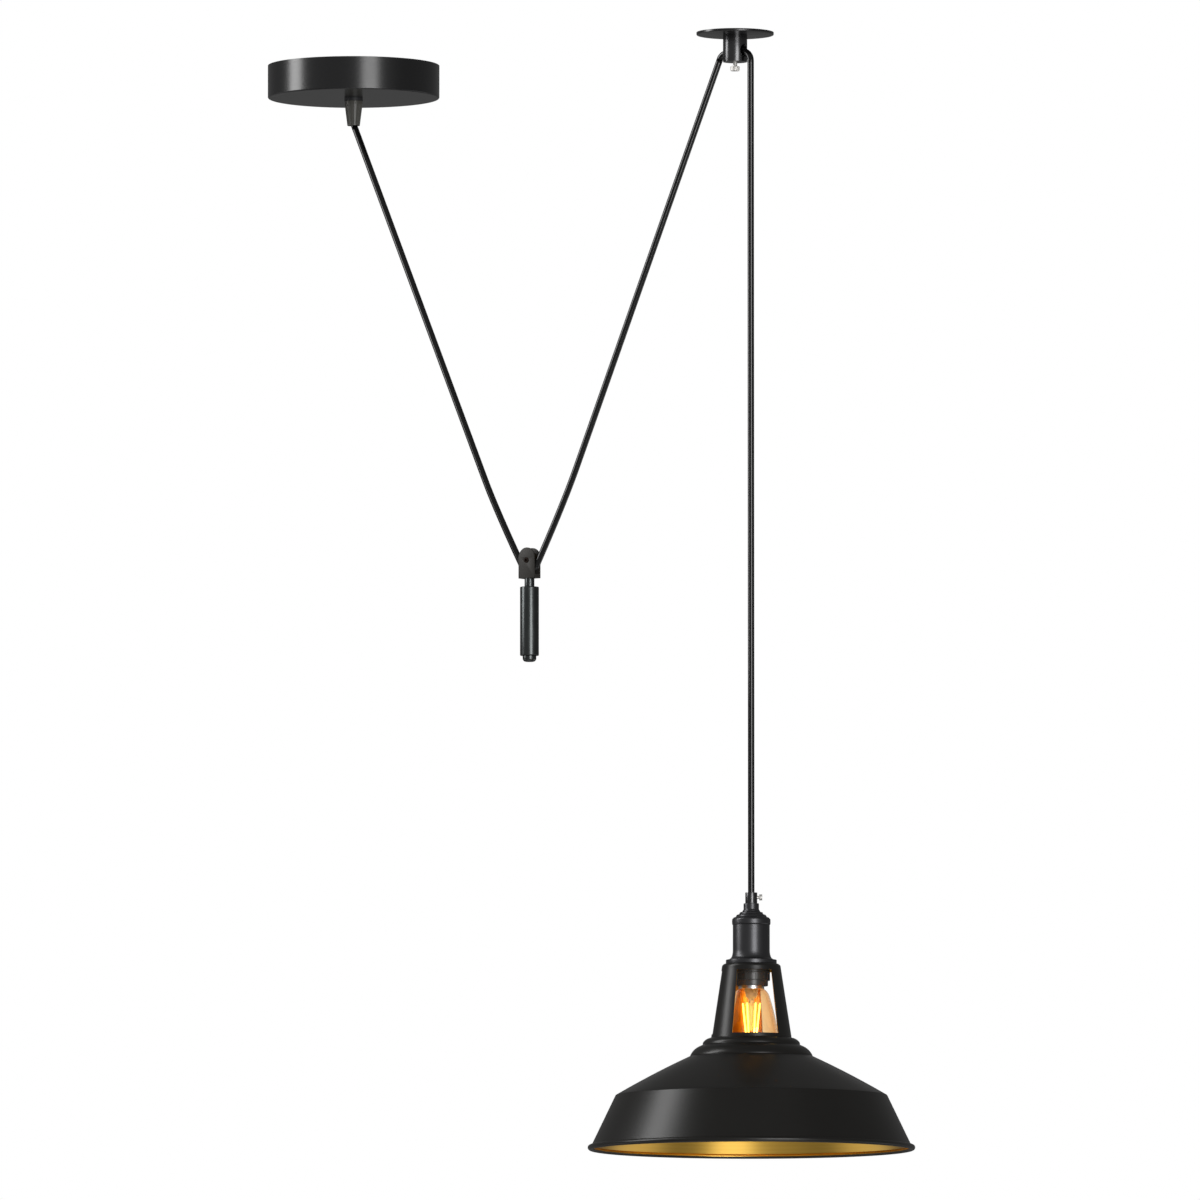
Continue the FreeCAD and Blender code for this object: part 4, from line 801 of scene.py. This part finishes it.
gunmetal = metal("blackened_polished_steel", "#565657", "#626263", 0.27, 900.0, 0.004)
blackened = metal("blackened_satin_steel", "#515454", "#595c5c", 0.3, 60.0, 0.0)
oxide = metal("black_oxide_steel", "#14100e", "#241b18", 0.32, 600.0, 0.03)
fork_paint = metal("textured_bronze_paint", "#1f1d1b", "#3a3733", 0.5, 1400.0, 0.35, 0.2)
nickel = metal("satin_nickel", "#e4e1dc", "#f2f0ec", 0.32, 500.0, 0.02, 0.55)
zinc = metal("zinc_plated_steel", "#a9aaac", "#c2c3c4", 0.32, 300.0, 0.05)
brass = metal("satin_brass", "#a8853f", "#c7a45a", 0.3, 300.0, 0.04)
# Dark brass for the sheave: painted shade from the fork's plates round it.
shade_darkened_brass = metal("shade_darkened_brass", "#2a241a", "#403524", 0.4, 300.0, 0.04)
cap_metal = metal("pressed_aluminium", "#c4c4c2", "#dcdcda", 0.3, 400.0, 0.04)
solder = metal("tinned_solder", "#9a9a9c", "#b9b9ba", 0.35, 700.0, 0.1)
print("ten metals")

# %% [markdown]
# ## Plastics and the rest
# All are moulded, and take the fine grain of their mould, which dulls them. The cord grip's body is
# matt black nylon, its outer nut is nylon greyed by glass fibre, the terminal block is white, the
# cores are PVC in the usual colours and smoother, and the seal is rubber, the dullest of them.

# %% Plastics
def plastic(name, dark, light, roughness, scale, strength):
    finish, tree, shader = new_finish(name, Roughness=roughness, Specular_IOR_Level=0.45)
    place = add_node(tree, "TexCoord").outputs["Object"]
    grain = add_node(tree, "TexNoise", {"Vector": place, "Scale": scale, "Detail": 2.0})
    vary(tree, shader, grain.outputs["Fac"], tones=(dark, light), relief=(strength, 0.05))
    return finish


grip_nylon = plastic("matt_black_nylon", "#232325", "#303033", 0.5, 1200.0, 0.2)
nut_nylon = plastic("grey_glass_filled_nylon", "#42413d", "#5c5a55", 0.36, 1200.0, 0.15)
socket_black = plastic("moulded_thermoset", "#161616", "#1f1f1f", 0.3, 900.0, 0.08)
white_nylon = plastic("white_nylon", "#e2e1da", "#eeeee8", 0.45, 800.0, 0.06)
seal_rubber = plastic("black_rubber", "#1a1a1a", "#262626", 0.7, 1500.0, 0.25)
core_brown = plastic("brown_core_pvc", "#5a3420", "#6b4029", 0.4, 600.0, 0.04)
core_blue = plastic("blue_core_pvc", "#2b5cab", "#3a6bbb", 0.4, 600.0, 0.04)
core_green = plastic("green_yellow_core_pvc", "#5c9a2c", "#c9d23a", 0.4, 60.0, 0.04)
print("eight plastics")

# %% [markdown]
# ## Eased edges
# On turned and milled metal the sharp edges are broken, and that narrow round is what catches the
# light. So a copy of the solid is merged, its flat faces are joined again, and Bevel rounds each
# edge that is sharper than 40 degrees. The counterweight's own pieces are plain lathe work, so they
# are turned anew, each as long and as thick as its solid.

# %% Pieces with eased edges
def softened(name, finish, width, body, slot):
    """Stands for a solid with a copy of it whose sharp edges are rounded by the width, in mm."""
    start_fresh()
    mesh = nodes[name].data.copy()
    mesh.transform(nodes[name].matrix_world)
    mesh.materials.clear()
    piece = bpy.data.objects.new(name + "_eased", mesh)
    bpy.context.scene.collection.objects.link(piece)
    piece.select_set(True)
    bpy.context.view_layer.objects.active = piece
    if mesh.has_custom_normals:
        bpy.ops.mesh.customdata_custom_splitnormals_clear()
    bpy.ops.object.mode_set(mode="EDIT")
    bpy.ops.mesh.select_all(action="SELECT")
    bpy.ops.mesh.remove_doubles(threshold=3 * SPECK)
    bpy.ops.mesh.dissolve_limited(angle_limit=math.radians(1))
    bpy.ops.object.mode_set(mode="OBJECT")
    ease = piece.modifiers.new("eased_edges", "BEVEL")
    ease.width = width * MM
    ease.segments = 3
    ease.limit_method = "ANGLE"
    ease.angle_limit = math.radians(40)
    bpy.ops.object.modifier_apply(modifier="eased_edges")
    return settle(piece, (0, 0, 0), finish, body, slot, name, sharp=40)


softened("clevis", fork_paint, 0.5, "counterweight", "fork_bronze")
softened("guide_tube", gunmetal, 0.5, "ceiling", "gunmetal")
softened("guide_plate", satin_black, 0.3, "ceiling", "black_paint")
softened("lock_screw", nickel, 0.3, "lock_screw", "nickel")
softened("grip_sleeve", gunmetal, 0.25, "lamp", "gunmetal")
for name, ease in (("weight_cylinder", 1.0), ("neck_spacer", 0.4)):
    low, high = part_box(name)
    top, end, radius = high[2] / MM, low[2] / MM, (high[0] - low[0]) / 2 / MM
    bar_line = eased([(0, top, 0), (radius, top, ease), (radius, end, ease), (0, end, 0)])
    bar = turned(name + "_turned", bar_line, 128)
    settle(bar, WEIGHT_AXIS, blackened, "counterweight", "dark_steel", name)
low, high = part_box("weight_cap")
top, end = high[2] / MM, low[2] / MM
end_line = eased([(0, top, 0), (7.65, top, 0.5), (7.6, end + 2.2, 1.6), (5.4, end, 1.8),
                  (0, end, 0)], 6)
end_cap = turned("counterweight_cap", end_line)
settle(end_cap, WEIGHT_AXIS, blackened, "counterweight", "dark_steel", "weight_cap")

# %% [markdown]
# Solids whose shape is already right keep it, and get the finish of what they are.

# %% Finishes of the solids that stay
FINISHES = {
    satin_black: ["canopy_cup"],
    oxide: ["axle_screw"],
    nickel: ["canopy_screws", "sleeve_screw"],
    # The sheave's dark brass is painted shade, not the colour of its metal.
    shade_darkened_brass: ["sheave"],
    zinc: ["mounting_bracket", "terminal_block_screws", "block_fixing_screw", "nipple",
           "nipple_nut", "socket_terminal_screws", "tie_rod", "filament_wires"],
    brass: ["earth_terminal", "socket_terminals", "contact_shell", "centre_contact"],
    cap_metal: ["bulb_cap"],
    solder: ["bulb_tip"],
    grip_nylon: ["grip_body", "grip_locknut"],
    nut_nylon: ["grip_nut"],
    socket_black: ["socket_body", "bulb_insulator"],
    white_nylon: ["terminal_block"],
    seal_rubber: ["grip_seal"],
    core_brown: ["core_live", "lamp_core_live"],
    core_blue: ["core_neutral", "lamp_core_neutral"],
    core_green: ["core_earth"],
}
for finish, names in FINISHES.items():
    for name in names:
        for material_slot in nodes[name].material_slots:
            material_slot.material = finish
shown = [name for name, node in nodes.items() if not node.hide_render]
bare = sorted(set(shown) - {name for names in FINISHES.values() for name in names})
print("solids shown:", len(shown), "without a finish:", bare)
